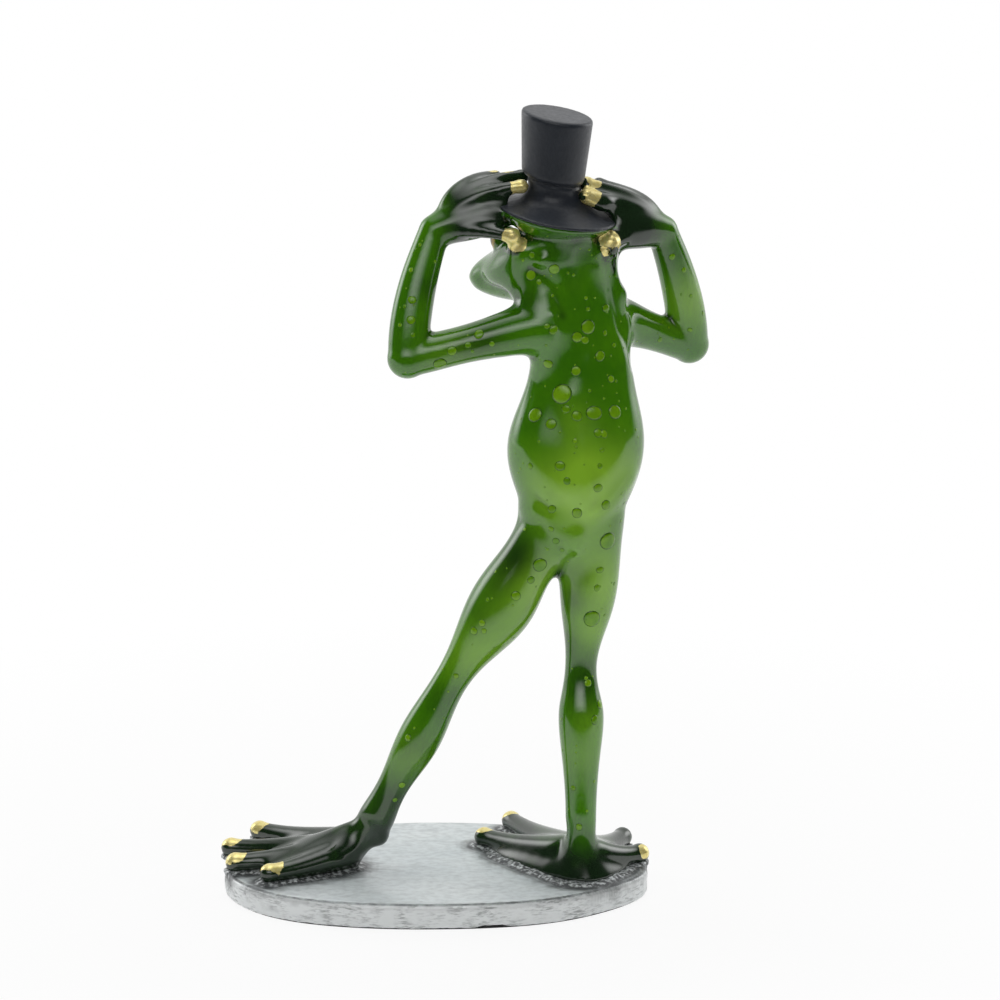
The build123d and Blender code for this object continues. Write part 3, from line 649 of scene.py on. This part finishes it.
class Paint(Nodes):
    """Material of one surface."""

    def __init__(self, name):
        self.material = bpy.data.materials.new(name)
        self.material.use_nodes = True
        super().__init__(self.material.node_tree)
        self.shader = self.tree.nodes["Principled BSDF"]

    def noise(self, scale, detail=4.0, stretch=(1, 1, 1)):
        """Noise fixed to the object, in cycles to the metre."""
        place = self.add("TexCoord").outputs["Object"]
        mapped = self.add("Mapping", {"Vector": place, "Scale": stretch})
        return self.add("TexNoise", {"Vector": mapped, "Scale": scale, "Detail": detail}).outputs["Fac"]

    def blend(self, share, first, second):
        """Mix of two colours."""
        inputs = {"Factor": share}
        for slot, value in ((6, first), (7, second)):
            inputs[slot] = value if isinstance(value, bpy.types.NodeSocket) else (*value, 1)
        return self.add("Mix", inputs, data_type="RGBA").outputs[2]

    def read(self, name):
        """Number that a mesh holds at its corners."""
        return self.add("Attribute", attribute_name=name).outputs["Fac"]

    def bump(self, height, strength, reach):
        """Bump of the surface, as a normal."""
        limits = {"Height": height, "Strength": strength, "Distance": reach}
        return self.add("Bump", limits).outputs["Normal"]


def skin_paint():
    """Candy-green lacquer, near black on hands and feet, with worn gold tips, painted highlight and painted
    shade.
    """
    paint = Paint("frog_lacquer")
    mottle = paint.ramp(paint.noise(MOTTLE_SCALE, 5), 0.35, 0.7)
    green = paint.blend(mottle, GREEN_DARK, GREEN_LIGHT)
    # lighter yellow-green spots, partly painted highlight
    green = paint.blend(paint.read("glow_and_highlight"), green, GLOW_AND_HIGHLIGHT_COLOUR)
    # dark spots, partly painted shade and painted dark reflection
    green = paint.blend(paint.read("dark_paint_and_shade"), green, DARK_PAINT_AND_SHADE_COLOUR)
    # painted shade in the hollows
    green = paint.blend(paint.read("crease_shade"), green, CREASE_SHADE_COLOUR)
    drift = paint.ramp(paint.noise(DUSK_SCALE, 3), 0.3, 0.7, -0.12, 0.12)
    shadow = paint.combine("ADD", paint.read("dusk"), drift)
    green = paint.blend(paint.ramp(shadow, 0.05, 0.95), green, DUSK_COLOUR)
    green = paint.blend(paint.read("iris"), green, IRIS_COLOUR)
    green = paint.blend(paint.read("pupil"), green, PUPIL_COLOUR)
    rub = paint.ramp(paint.noise(RUB_SCALE, 3), 0.3, 0.7, -0.16, 0.16)
    gold = paint.ramp(paint.combine("ADD", paint.read("gild"), rub), 0.45, 0.55)
    gloss = paint.ramp(shadow, 0.05, 0.95, 0.10, 0.14)
    brass = paint.blend(paint.ramp(paint.noise(GOLD_SCALE, 3), 0.35, 0.7), GOLD_DARK, GOLD_LIGHT)
    paint.fill(paint.shader, {
        "Base Color": paint.blend(gold, green, brass),
        "Metallic": paint.ramp(gold, 0, 1, 0, 0.45),
        "Roughness": paint.ramp(gold, 0, 1, gloss, 0.28),
        "IOR": LACQUER_IOR,
    })
    return paint.material


def drop_paint():
    """Clear lighter lacquer of the raised drops, with painted shade round the foot of each."""
    paint = Paint("drop_lacquer")
    tint = paint.ramp(paint.noise(DROP_TINT_SCALE, 3), 0.35, 0.65)
    green = paint.blend(tint, DROP_DARK, DROP_LIGHT)
    # painted shade: each drop's rim is darkened where it meets the skin
    foot = paint.ramp(paint.read("foot"), 0.80, 0.97)
    paint.fill(paint.shader, {
        "Base Color": paint.blend(foot, green, DROP_RIM_SHADE_COLOUR),
        "Roughness": 0.12,
        "IOR": DROP_IOR,
    })
    return paint.material


def hat_paint():
    """Matte charcoal paint with a faint brushed grain."""
    paint = Paint("hat_charcoal")
    grain = paint.noise(HAT_GRAIN_SCALE, 6)
    patch = paint.ramp(paint.noise(HAT_PATCH_SCALE, 4), 0.35, 0.7)
    paint.fill(paint.shader, {
        "Base Color": paint.blend(patch, HAT_DARK, HAT_LIGHT),
        "Roughness": paint.ramp(grain, 0.3, 0.7, 0.36, 0.48),
        "Sheen Weight": 0.12,
        "Sheen Roughness": 0.4,
        "Normal": paint.bump(grain, 0.25, HAT_GRAIN_DEPTH),
    })
    return paint.material


def base_paint():
    """Antique silver paint: pale metal with a dark wash in the hollows round the feet, which is partly painted
    shade and painted reflection of the feet, and with sides painted paler as painted light.
    """
    paint = Paint("base_silver")
    streak = paint.ramp(paint.noise(STREAK_SCALE, 4, (0.6, 1, 3)), 0.3, 0.7)
    speck = paint.ramp(paint.noise(SPECK_SCALE, 10, (0.22, 0.22, 1)), 0.46, 0.62)
    brush = paint.ramp(paint.noise(BRUSH_SCALE, 10, (0.6, 0.8, 1)), 0.40, 0.75, 0, 0.42)
    silver = paint.blend(streak, SILVER_DARK, SILVER_LIGHT)
    silver = paint.blend(brush, silver, SILVER_BRUSHED)
    # painted light: the sides of the plate are painted paler than its top
    side = paint.read("side")
    silver = paint.blend(side, silver, SILVER_SIDE_PAINTED_LIGHT)
    patch = paint.ramp(paint.noise(PATCH_SCALE, 5), 0.42, 0.62)
    worn = paint.combine("MULTIPLY", speck, patch)
    scuff = paint.combine("MULTIPLY", worn, paint.ramp(side, 0, 1, 0.04, 0.62))
    silver = paint.blend(scuff, silver, SCUFF_COLOUR)
    # dark wash round the feet, partly painted shade and painted reflection of the feet
    cloud = paint.ramp(paint.noise(CLOUD_SCALE, 8, (0.5, 1, 1)), 0.3, 0.7, -0.25, 0.2)
    wash_and_shade = paint.ramp(paint.combine("ADD", paint.read("wash_and_shade"), cloud), 0.05, 0.9, 0, 0.92)
    silver = paint.blend(wash_and_shade, silver, WASH_AND_SHADE_COLOUR)
    ink = paint.ramp(paint.noise(LINE_SCALE, 8), 0.3, 0.6, 0.3, 0.85)
    line = paint.combine("MULTIPLY", paint.ramp(paint.read("edge"), 0.2, 0.7), ink)
    silver = paint.blend(line, silver, WASH_AND_SHADE_COLOUR)
    crumb = paint.ramp(paint.noise(CRUMB_SCALE, 8), 0.45, 0.62, 0, 0.85)
    crest = paint.combine("MULTIPLY", paint.read("bead"), crumb)
    silver = paint.blend(crest, silver, SILVER_CREST)
    paint.fill(paint.shader, {
        "Base Color": silver,
        "Metallic": 0.2,
        "Roughness": paint.ramp(streak, 0, 1, 0.42, 0.32),
        "Normal": paint.bump(paint.noise(SILVER_GRAIN_SCALE, 6), 0.22, SILVER_GRAIN_DEPTH),
    })
    return paint.material


def felt_paint():
    """Short black felt."""
    paint = Paint("felt_black")
    fuzz = paint.noise(FUZZ_SCALE, 6)
    paint.fill(paint.shader, {
        "Base Color": paint.blend(fuzz, FELT_DARK, FELT_LIGHT),
        "Roughness": 0.95,
        "Sheen Weight": 0.3,
        "Normal": paint.bump(fuzz, 0.8, FUZZ_DEPTH),
    })
    return paint.material


def steel_paint():
    """Drawn steel wire."""
    paint = Paint("drawn_steel")
    line = paint.noise(DRAWN_SCALE, 4, (1, 1, 0.1))
    paint.fill(paint.shader, {
        "Base Color": paint.blend(line, STEEL_DARK, STEEL_LIGHT),
        "Metallic": 1.0,
        "Roughness": paint.ramp(line, 0.3, 0.7, 0.28, 0.42),
    })
    return paint.material


# Skin


def node_tree(node):
    """Search tree over a node's surface."""
    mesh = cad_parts[node].data
    corners = [corner.co for corner in mesh.vertices]
    return BVHTree.FromPolygons(corners, [face.vertices for face in mesh.polygons])


def with_fills(field, grid, camera):
    """Field with flesh added to the right hand."""
    voxel, start, _ = grid
    tree = node_tree("right_arm")
    for pixel, radius in FINGER_FILLS:
        begin, along = sight(camera, pixel)
        place = seen(camera, tree, pixel)[0]
        middle = begin + along * (place - begin).dot(along)
        ball = vdb.createLevelSetSphere(radius, tuple(middle), voxel, BAND_VOXELS)
        fill = np.empty_like(field)
        ball.copyToArray(fill, ijk=start)
        field = joined(field, fill, FINGER_FILLET)
    return field


def skin_surface(camera):
    """Castings with filled seams, as corners, quads and the nearest casting of each corner."""
    grid = shared_grid(SKIN_NODES, SKIN_VOXEL)
    fields = {node: distance(node, grid) for node in SKIN_NODES}
    torso = fields["torso"]
    for node in WIRE_NODES:
        torso = np.minimum(torso, distance(node, grid) - WIRE_FILL)
    limbs = torso
    for node in ("left_leg", "right_leg"):
        limbs = joined(limbs, fields[node], HIP_FILLET)
    for node in ("left_arm", "right_arm"):
        limbs = joined(limbs, fields[node], SHOULDER_FILLET)
    limbs = with_fills(limbs, grid, camera)
    feet = 1 - smooth_step(heights(grid), FOOT_TOP, FOOT_TOP + WEB_FADE)
    hands = smooth_step(heights(grid), HAND_FOOT, HAND_FOOT + WEB_FADE)
    limbs = limbs + (webbed(limbs, grid, WEB_RADIUS) - limbs) * (feet + hands).astype(np.float32)
    high = smooth_step(heights(grid), NECK_TOP, NECK_TOP + NECK_FADE).astype(np.float32)
    whole = joined(limbs, fields["head"], NECK_FILLET + (TOUCH_FILLET - NECK_FILLET) * high)
    places, quads = outer_shell(*surface(softened(whole, SKIN_SOFTENING), grid))
    places = relaxed(places, quads, RELAX_ROUNDS)
    owners = np.argmin([at_places(fields[node], grid, places) for node in SKIN_NODES], axis=0)
    return places, quads, owners


def lies_on(owners, *nodes):
    """Which corners lie on some castings."""
    return np.isin(owners, [SKIN_NODES.index(node) for node in nodes])


def facing_back(places, quads, owners):
    """How much each place of torso and head faces the camera's side."""
    facing = smooth_step(-corner_normals(places, quads)[:, 1], *BACK_FACING_SHARES)
    return facing * lies_on(owners, "torso", "head")


def smoothed_back(places, quads, owners):
    """Skin whose back and nape are smooth sheets."""
    for middle, half_width, half_height, fade_share in BACK_SHEETS:
        away = (places - np.array(middle)) / np.array((half_width, 1, half_height))
        inside = 1 - smooth_step(np.hypot(away[:, 0], away[:, 2]), fade_share, 1.0)
        places = calmed(places, quads, inside * facing_back(places, quads, owners), BACK_CALMING)
    return places


def leaned(places, quads, owners):
    """Skin whose nape leans forward under the brim."""
    across = 1 - smooth_step(np.abs(places[:, 0] - LEAN_MIDDLE), LEAN_HALF_WIDTH / 2, LEAN_HALF_WIDTH)
    rise = smooth_step(places[:, 2], LEAN_FOOT, LEAN_TOP)
    rise = rise * (1 - smooth_step(places[:, 2], LEAN_TOP, LEAN_TOP + LEAN_FADE))
    behind = smooth_step(places[:, 1], JAW_BACK, NAPE_BACK)
    places = places.copy()
    places[:, 1] += NAPE_LEAN * across * rise * behind * facing_back(places, quads, owners)
    return places


def carved(places, quads, tree, camera):
    """Skin with its ridges and furrows."""
    for pixels, half_width, rise in RELIEF_STROKES:
        path = [np.array(seen(camera, tree, pixel)[0]) for pixel in pixels]
        bell = np.exp(-((path_distance(places, path) / half_width) ** 2))
        places = places + corner_normals(places, quads) * (bell * rise)[:, None]
    return places


def spot_shares(places, middle, radius):
    """How much of a round soft spot each place gets."""
    return np.exp(-(np.linalg.norm(places - np.array(middle), axis=1) / radius) ** 2)


def gild(places, tree, camera):
    """Gold leaf on the tips of fingers and toes."""
    shares = np.zeros(len(places))
    for pixel, radius, depth in GILDED_TIPS:
        place, _, along = seen(camera, tree, pixel)
        middle = place + along * depth
        away = np.linalg.norm(places - np.array(middle), axis=1) / radius
        shares = np.maximum(shares, 1 - smooth_step(away, *GILD_EDGE_SHARES))
    return shares


def eyes(places, radius):
    """Round patch on the outer side of each eye."""
    shares = np.zeros(len(places))
    across = GAZE.cross(Vector((0, 0, 1)))
    for side in (-1, 1):
        middle = HEAD_MIDDLE + GAZE * EYE_FORWARD + across * (side * EYE_OUT) + Vector((0, 0, EYE_LIFT))
        pole = middle + (across * side + GAZE).normalized() * EYE_RADIUS
        away = np.linalg.norm(places - np.array(pole), axis=1) / radius
        shares = np.maximum(shares, 1 - smooth_step(away, *EYE_EDGE_SHARES))
    return shares


def dusk(places, owners):
    """Near-black shading of hands and feet."""
    hands = smooth_step(places[:, 2], HAND_DUSK_FOOT, HAND_DUSK_TOP) * lies_on(owners, "left_arm", "right_arm")
    hands = hands * (1 - smooth_step(np.abs(places[:, 0] - HAND_MIDDLE), HAND_DUSK_NEAR, HAND_DUSK_FAR))
    left = 1 - smooth_step(places[:, 2], *LEFT_FOOT_DUSK)
    right = 1 - smooth_step(places[:, 2], *RIGHT_FOOT_DUSK)
    return np.maximum(hands, np.where(places[:, 0] < FEET_APART, left, right))


def spotted(places, tree, camera, spots):
    """Soft round spots of colour under the lacquer: lighter ones are partly painted highlight, dark ones
    partly painted shade.
    """
    shares = np.zeros(len(places))
    for pixel, radius, strength in spots:
        shares += spot_shares(places, seen(camera, tree, pixel)[0], radius) * strength
    return np.clip(shares, 0, 1)


def crease_shade(places, quads):
    """Depth of hollows, which are painted darker as painted shade."""
    edges = edge_pairs(quads)
    offset = neighbour_mean(places, edges) - places
    hollow = np.sum(offset * corner_normals(places, quads), axis=1)[:, None]
    for _ in range(CREASE_ROUNDS):
        hollow = neighbour_mean(hollow, edges)
    return smooth_step(hollow[:, 0], CREASE_SHALLOW, CREASE_DEEP)


def casting_of_faces(quads, owners):
    """Casting of each face, as one island for each casting."""
    casting = owners[quads[:, 0]]
    pairs = face_pairs(quads)
    for _ in range(ISLAND_ROUNDS):
        same = casting[pairs[:, 0]] == casting[pairs[:, 1]]
        label = islands(len(quads), pairs[same])
        tally = np.bincount(label, minlength=len(quads))
        largest = [np.argmax(tally * (casting == index)) for index in range(len(SKIN_NODES))]
        stray = ~np.isin(label, largest)
        taken = casting.copy()
        for first, second in (pairs[~same].T, pairs[~same][:, ::-1].T):
            hit = stray[first] & ~stray[second]
            taken[label[first[hit]]] = casting[second[hit]]
        casting = np.where(stray, taken[label], casting)
    return casting


def make_casting(node, skin, quads):
    """One casting's stretch of the skin, closed where it meets its neighbours."""
    corners, faces = np.unique(quads, return_inverse=True)
    faces = faces.reshape(-1, 4)
    places = skin["places"][corners]
    loops = rim_loops(faces)
    middles = np.array([places[loop].mean(axis=0) for loop in loops])
    sides = faces.tolist()
    for number, loop in enumerate(loops):
        middle = len(places) + number
        sides += [[end, start, middle] for start, end in zip(loop, loop[1:] + loop[:1])]
    piece = mesh_object(node + "_skin", np.concatenate([places, middles]), sides)
    for name, values in skin["shares"].items():
        add_attribute(piece, name, np.concatenate([values[corners], np.zeros(len(loops))]))
    normals = np.concatenate([skin["normals"][corners], np.tile((0, 0, 1), (len(loops), 1))])
    piece.data.normals_split_custom_set_from_vertices(normals.tolist())
    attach(piece, "root")
    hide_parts(node)
    return piece


def make_skin(camera):
    """Lacquered frog over all its castings."""
    places, quads, owners = skin_surface(camera)
    places = leaned(places, quads, owners)
    places = smoothed_back(places, quads, owners)
    tree = BVHTree.FromPolygons(places.tolist(), quads.tolist())
    for pixel, radius in CALM_SPOTS:
        away = np.linalg.norm(places - np.array(seen(camera, tree, pixel)[0]), axis=1)
        places = calmed(places, quads, 1 - smooth_step(away, radius * CALM_CORE_SHARE, radius), CREASE_CALMING)
    tree = BVHTree.FromPolygons(places.tolist(), quads.tolist())
    places = carved(places, quads, tree, camera)
    tree = BVHTree.FromPolygons(places.tolist(), quads.tolist())
    shares = {
        "gild": gild(places, tree, camera),
        "dusk": dusk(places, owners),
        # lighter spots, partly painted highlight
        "glow_and_highlight": spotted(places, tree, camera, GLOW_AND_HIGHLIGHT_SPOTS),
        # dark spots, partly painted shade and painted dark reflection
        "dark_paint_and_shade": spotted(places, tree, camera, DARK_PAINT_AND_SHADE_SPOTS),
        # painted shade in the hollows
        "crease_shade": crease_shade(places, quads),
        "iris": eyes(places, IRIS_RADIUS),
        "pupil": eyes(places, PUPIL_RADIUS),
    }
    skin = {"places": places, "normals": corner_normals(places, quads), "shares": shares, "tree": tree}
    casting = casting_of_faces(quads, owners)
    paint = skin_paint()
    for index, node in enumerate(SKIN_NODES):
        piece = make_casting(node, skin, quads[casting == index])
        piece.data.materials.append(paint)
    return skin


# Water drops


def drop_shape(tree, place, normal, diameter, stretch, turn):
    """One flat dome that follows the skin under it, as corners and faces."""
    side = normal.orthogonal().normalized()
    side = Matrix.Rotation(turn, 3, normal) @ side
    other = normal.cross(side)
    rise = diameter * DROP_RISE_SHARE
    corners = []
    for ring in range(DROP_RINGS + 1):
        lean = pi / 2 * ring / DROP_RINGS
        for step in range(DROP_ROUND):
            angle = 2 * pi * step / DROP_ROUND
            out = diameter / 2 * cos(lean)
            spot = place + side * (out * stretch * cos(angle)) + other * (out * sin(angle) / stretch)
            foot, lift, _, _ = tree.find_nearest(spot)
            corners.append(foot + lift * (rise * (sin(lean) - DROP_RISE_SHARE)))
    faces = []
    for ring in range(DROP_RINGS):
        for step in range(DROP_ROUND):
            after = (step + 1) % DROP_ROUND
            low = ring * DROP_ROUND
            faces.append([low + step, low + after, low + DROP_ROUND + after, low + DROP_ROUND + step])
    faces.append(list(range(DROP_ROUND))[::-1])
    return corners, faces


def scattered(skin, draw, count, side, least, spread):
    """Places, normals and diameters of drops on the green of one side."""
    spots = []
    while len(spots) < count:
        index = int(draw.integers(len(skin["places"])))
        place = Vector(skin["places"][index])
        normal = Vector(skin["normals"][index])
        if normal.y * side > DROP_FACING and skin["shares"]["dusk"][index] < DROP_DUSK_LIMIT:
            spots.append(((place, normal), least + spread * draw.random() ** DROP_POWER))
    return spots


def make_drops(camera, skin):
    """Raised water drops over the whole frog."""
    tree = skin["tree"]
    draw = np.random.default_rng(DROP_SEED)
    corners = []
    faces = []
    spots = [(seen(camera, tree, pixel)[:2], diameter) for pixel, diameter in DROPS]
    spots += scattered(skin, draw, HIDDEN_DROPS, 1, DROP_LEAST, DROP_SPREAD)
    spots += scattered(skin, draw, SMALL_DROPS, -1, SMALL_LEAST, SMALL_SPREAD)
    for (place, normal), diameter in spots:
        stretch = draw.uniform(*DROP_STRETCH_SHARES)
        shape, sides = drop_shape(tree, place, normal, diameter, stretch, draw.uniform(0, pi))
        faces += [[corner + len(corners) for corner in side] for side in sides]
        corners += shape
    piece = mesh_object("water_drops", np.array([tuple(corner) for corner in corners]), faces)
    rings = [cos(pi / 2 * ring / DROP_RINGS) for ring in range(DROP_RINGS + 1)]
    add_attribute(piece, "foot", np.tile(np.repeat(rings, DROP_ROUND), len(spots)))
    piece.data.materials.append(drop_paint())
    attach(piece, "root")
    return piece


# Hat


def grooved(places, quads, camera):
    """Hat with a groove round the foot of its crown."""
    tree = BVHTree.FromPolygons(places.tolist(), quads.tolist())
    up = Matrix.Rotation(HAT_TIP, 3, "X") @ Matrix.Rotation(HAT_LEAN, 3, "Y") @ Vector((0, 0, 1))
    height = (places - np.array(seen(camera, tree, GROOVE_PIXEL)[0])) @ np.array(up)
    bell = np.exp(-((height / GROOVE_HALF_WIDTH) ** 2))
    return places - corner_normals(places, quads) * (bell * GROOVE_DEPTH)[:, None]


def make_hat(camera):
    """Hat with softened edges."""
    grid = shared_grid(("hat",), HAT_VOXEL)
    field = np.minimum(distance("hat", grid), distance("hat_pin", grid) - WIRE_FILL)
    field = webbed(field, grid, HAT_FILL)
    places, quads = surface(softened(field, HAT_SOFTENING), grid)
    places = grooved(relaxed(places, quads, RELAX_ROUNDS), quads, camera)
    piece = mesh_object("top_hat", places, quads)
    piece.data.materials.append(hat_paint())
    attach(piece, "root")
    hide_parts("hat")
    return piece


# Base and felt


def add_rim(field, grid, camera):
    """Plate whose edge reaches down round the felt, apart from one notch."""
    voxel, start, count = grid
    rim = np.roll(field, -round(RIM_DROP / voxel), axis=2)
    rim = np.maximum(rim, RIM_CLEAR - distance("felt_pad", grid))
    across = (start[0] + np.arange(count[0])) * voxel
    along = (start[1] + np.arange(count[1])) * voxel
    begin, way = sight(camera, NOTCH_PIXEL)
    middle = begin - way * (begin.z / way.z)
    notch = np.maximum(np.abs(across - middle.x)[:, None] - NOTCH_HALF, along[None, :])
    return np.minimum(field, np.maximum(rim, -notch[:, :, None]).astype(np.float32))


def roughened(places, quads, depths):
    """Corners moved in and out by a hand-worked grain."""
    grain = np.array([noise.fractal(Vector(place) * ROUGH_SCALE, 1.0, 2.0, ROUGH_OCTAVES) for place in places])
    return places + corner_normals(places, quads) * (grain * depths)[:, None]


def base_field(grid, feet, camera):
    """Distance to the plate with its rim and a bead of filler round each sole."""
    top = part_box("base_plinth")[1].z
    field = distance("base_plinth", grid)
    for node in ("left_leg_wire", "right_leg_wire"):
        field = np.minimum(field, distance(node, grid) - WIRE_FILL)
    bead = np.maximum(feet - BEAD_REACH, np.abs(heights(grid) - top) - BEAD_HEIGHT)
    return joined(add_rim(field, grid, camera), bead.astype(np.float32), BEAD_FILLET)


def make_base(camera):
    """Plate with hand-worked sides and a dark wash round the feet, partly painted shade."""
    grid = shared_grid(("base_plinth",), BASE_VOXEL)
    feet = np.minimum(distance("left_leg", grid), distance("right_leg", grid))
    places, quads = surface(softened(base_field(grid, feet, camera), BASE_SOFTENING), grid)
    places = relaxed(places, quads, BASE_RELAX_ROUNDS)
    away = at_places(feet, grid, places)
    upward = corner_normals(places, quads)[:, 2]
    level = smooth_step(upward, *LEVEL_SHARES)
    near = 1 - smooth_step(away, BEAD_REACH, 2 * BEAD_REACH)
    places = roughened(places, quads, ROUGH_SIDE + (ROUGH_TOP - ROUGH_SIDE) * level + ROUGH_BEAD * near)
    # dark wash round the feet, partly painted shade and painted reflection of the feet
    wash_and_shade = 1 - smooth_step(away, BEAD_REACH, WASH_AND_SHADE_REACH)
    edge = smooth_step(upward, *EDGE_RISE_SHARES) * (1 - smooth_step(upward, *EDGE_FALL_SHARES))
    piece = mesh_object("silver_base", places, quads)
    add_attribute(piece, "wash_and_shade", wash_and_shade * wash_and_shade)
    add_attribute(piece, "edge", edge)
    add_attribute(piece, "bead", near)
    # sides, which are painted paler as painted light
    add_attribute(piece, "side", 1 - level)
    piece.data.materials.append(base_paint())
    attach(piece, "root")
    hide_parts("base_plinth")
    return piece


def dress_hidden_nodes():
    """Felt and steel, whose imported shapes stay."""
    steel = steel_paint()
    for node in (*WIRE_NODES, "hat_pin"):
        dress(node, steel)
    dress("felt_pad", felt_paint())


def dress(node, material):
    """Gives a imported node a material."""
    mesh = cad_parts[node].data
    mesh.materials.clear()
    mesh.materials.append(material)


# Studio


def make_floor():
    """Pale floor that fades to white away from the object."""
    corners = [
        (-FLOOR_HALF, FLOOR_FRONT, 0), (FLOOR_HALF, FLOOR_FRONT, 0),
        (FLOOR_HALF, FLOOR_BACK, 0), (-FLOOR_HALF, FLOOR_BACK, 0),
    ]
    floor = mesh_object("floor", np.array(corners), [[0, 1, 2, 3]])
    paint = Paint("floor_white")
    paint.fill(paint.shader, {"Base Color": FLOOR_COLOUR, "Roughness": 0.9})
    place = paint.add("TexCoord").outputs["Object"]
    away = paint.add("VectorMath", {0: place}, operation="LENGTH").outputs["Value"]
    far = paint.ramp(away, FADE_START, FADE_END, FADE_LEAST, 1)
    path = paint.add("LightPath")
    glossy = path.outputs["Is Glossy Ray"]
    share = paint.combine("MAXIMUM", paint.combine("MULTIPLY", far, path.outputs["Is Camera Ray"]), glossy)
    depth = paint.add("SeparateXYZ", {0: place}).outputs["Y"]
    dim = paint.ramp(depth, FLOOR_FRONT, FLOOR_FRONT + FLOOR_FADE, 1, 0)
    strength = paint.combine("SUBTRACT", 1, paint.combine("MULTIPLY", dim, glossy))
    white = paint.add("Emission", {"Color": (1, 1, 1, 1), "Strength": strength})
    mix = paint.add("MixShader", {0: share, 1: paint.shader, 2: white})
    output = paint.tree.nodes["Material Output"]
    paint.tree.links.new(mix.outputs[0], output.inputs["Surface"])
    floor.data.materials.append(paint.material)


def make_world():
    """White for the camera and behind the object, dim on the camera's side."""
    world = bpy.data.worlds.new("studio")
    bpy.context.scene.world = world
    world.use_nodes = True
    nodes = Nodes(world.node_tree)
    way = nodes.add("SeparateXYZ", {0: nodes.add("TexCoord").outputs["Generated"]})
    depth = nodes.ramp(way.outputs["Y"], *WORLD_BOUNDS, *WORLD_STRENGTHS)
    light = nodes.combine("MAXIMUM", depth, nodes.add("LightPath").outputs["Is Camera Ray"])
    nodes.fill(world.node_tree.nodes["Background"], {"Color": (1, 1, 1, 1), "Strength": light})


def soften_edges(data):
    """Fades a soft box towards its edges."""
    data.use_nodes = True
    nodes = Nodes(data.node_tree)
    way = nodes.add("SeparateXYZ", {0: nodes.add("NewGeometry").outputs["Parametric"]})
    shares = []
    for axis in ("X", "Y"):
        away = nodes.combine("ABSOLUTE", nodes.combine("SUBTRACT", way.outputs[axis], 0.5), 0)
        shares.append(nodes.ramp(away, 0.5, 0.5 - SOFT_EDGE_SHARE))
    nodes.fill(data.node_tree.nodes["Emission"], {"Strength": nodes.combine("MULTIPLY", *shares)})


def soft_box(name, place, width, height, radiance):
    """Soft box at a place, facing the figurine."""
    data = bpy.data.lights.new(name, "AREA")
    data.shape = "RECTANGLE"
    data.size = width
    data.size_y = height
    data.energy = radiance * pi * width * height
    soften_edges(data)
    light = bpy.data.objects.new(name, data)
    facing = (LIGHT_TARGET - place).to_track_quat("-Z", "Y")
    light.matrix_world = Matrix.Translation(place) @ facing.to_matrix().to_4x4()
    light.visible_camera = False
    bpy.context.scene.collection.objects.link(light)


def make_studio():
    """Floor, world and soft boxes."""
    make_floor()
    make_world()
    for box in SOFT_BOXES:
        soft_box(*box)
    bpy.context.scene.view_settings.view_transform = "Standard"


camera = make_camera()
skin = make_skin(camera)
make_drops(camera, skin)
make_hat(camera)
make_base(camera)
dress_hidden_nodes()
make_studio()
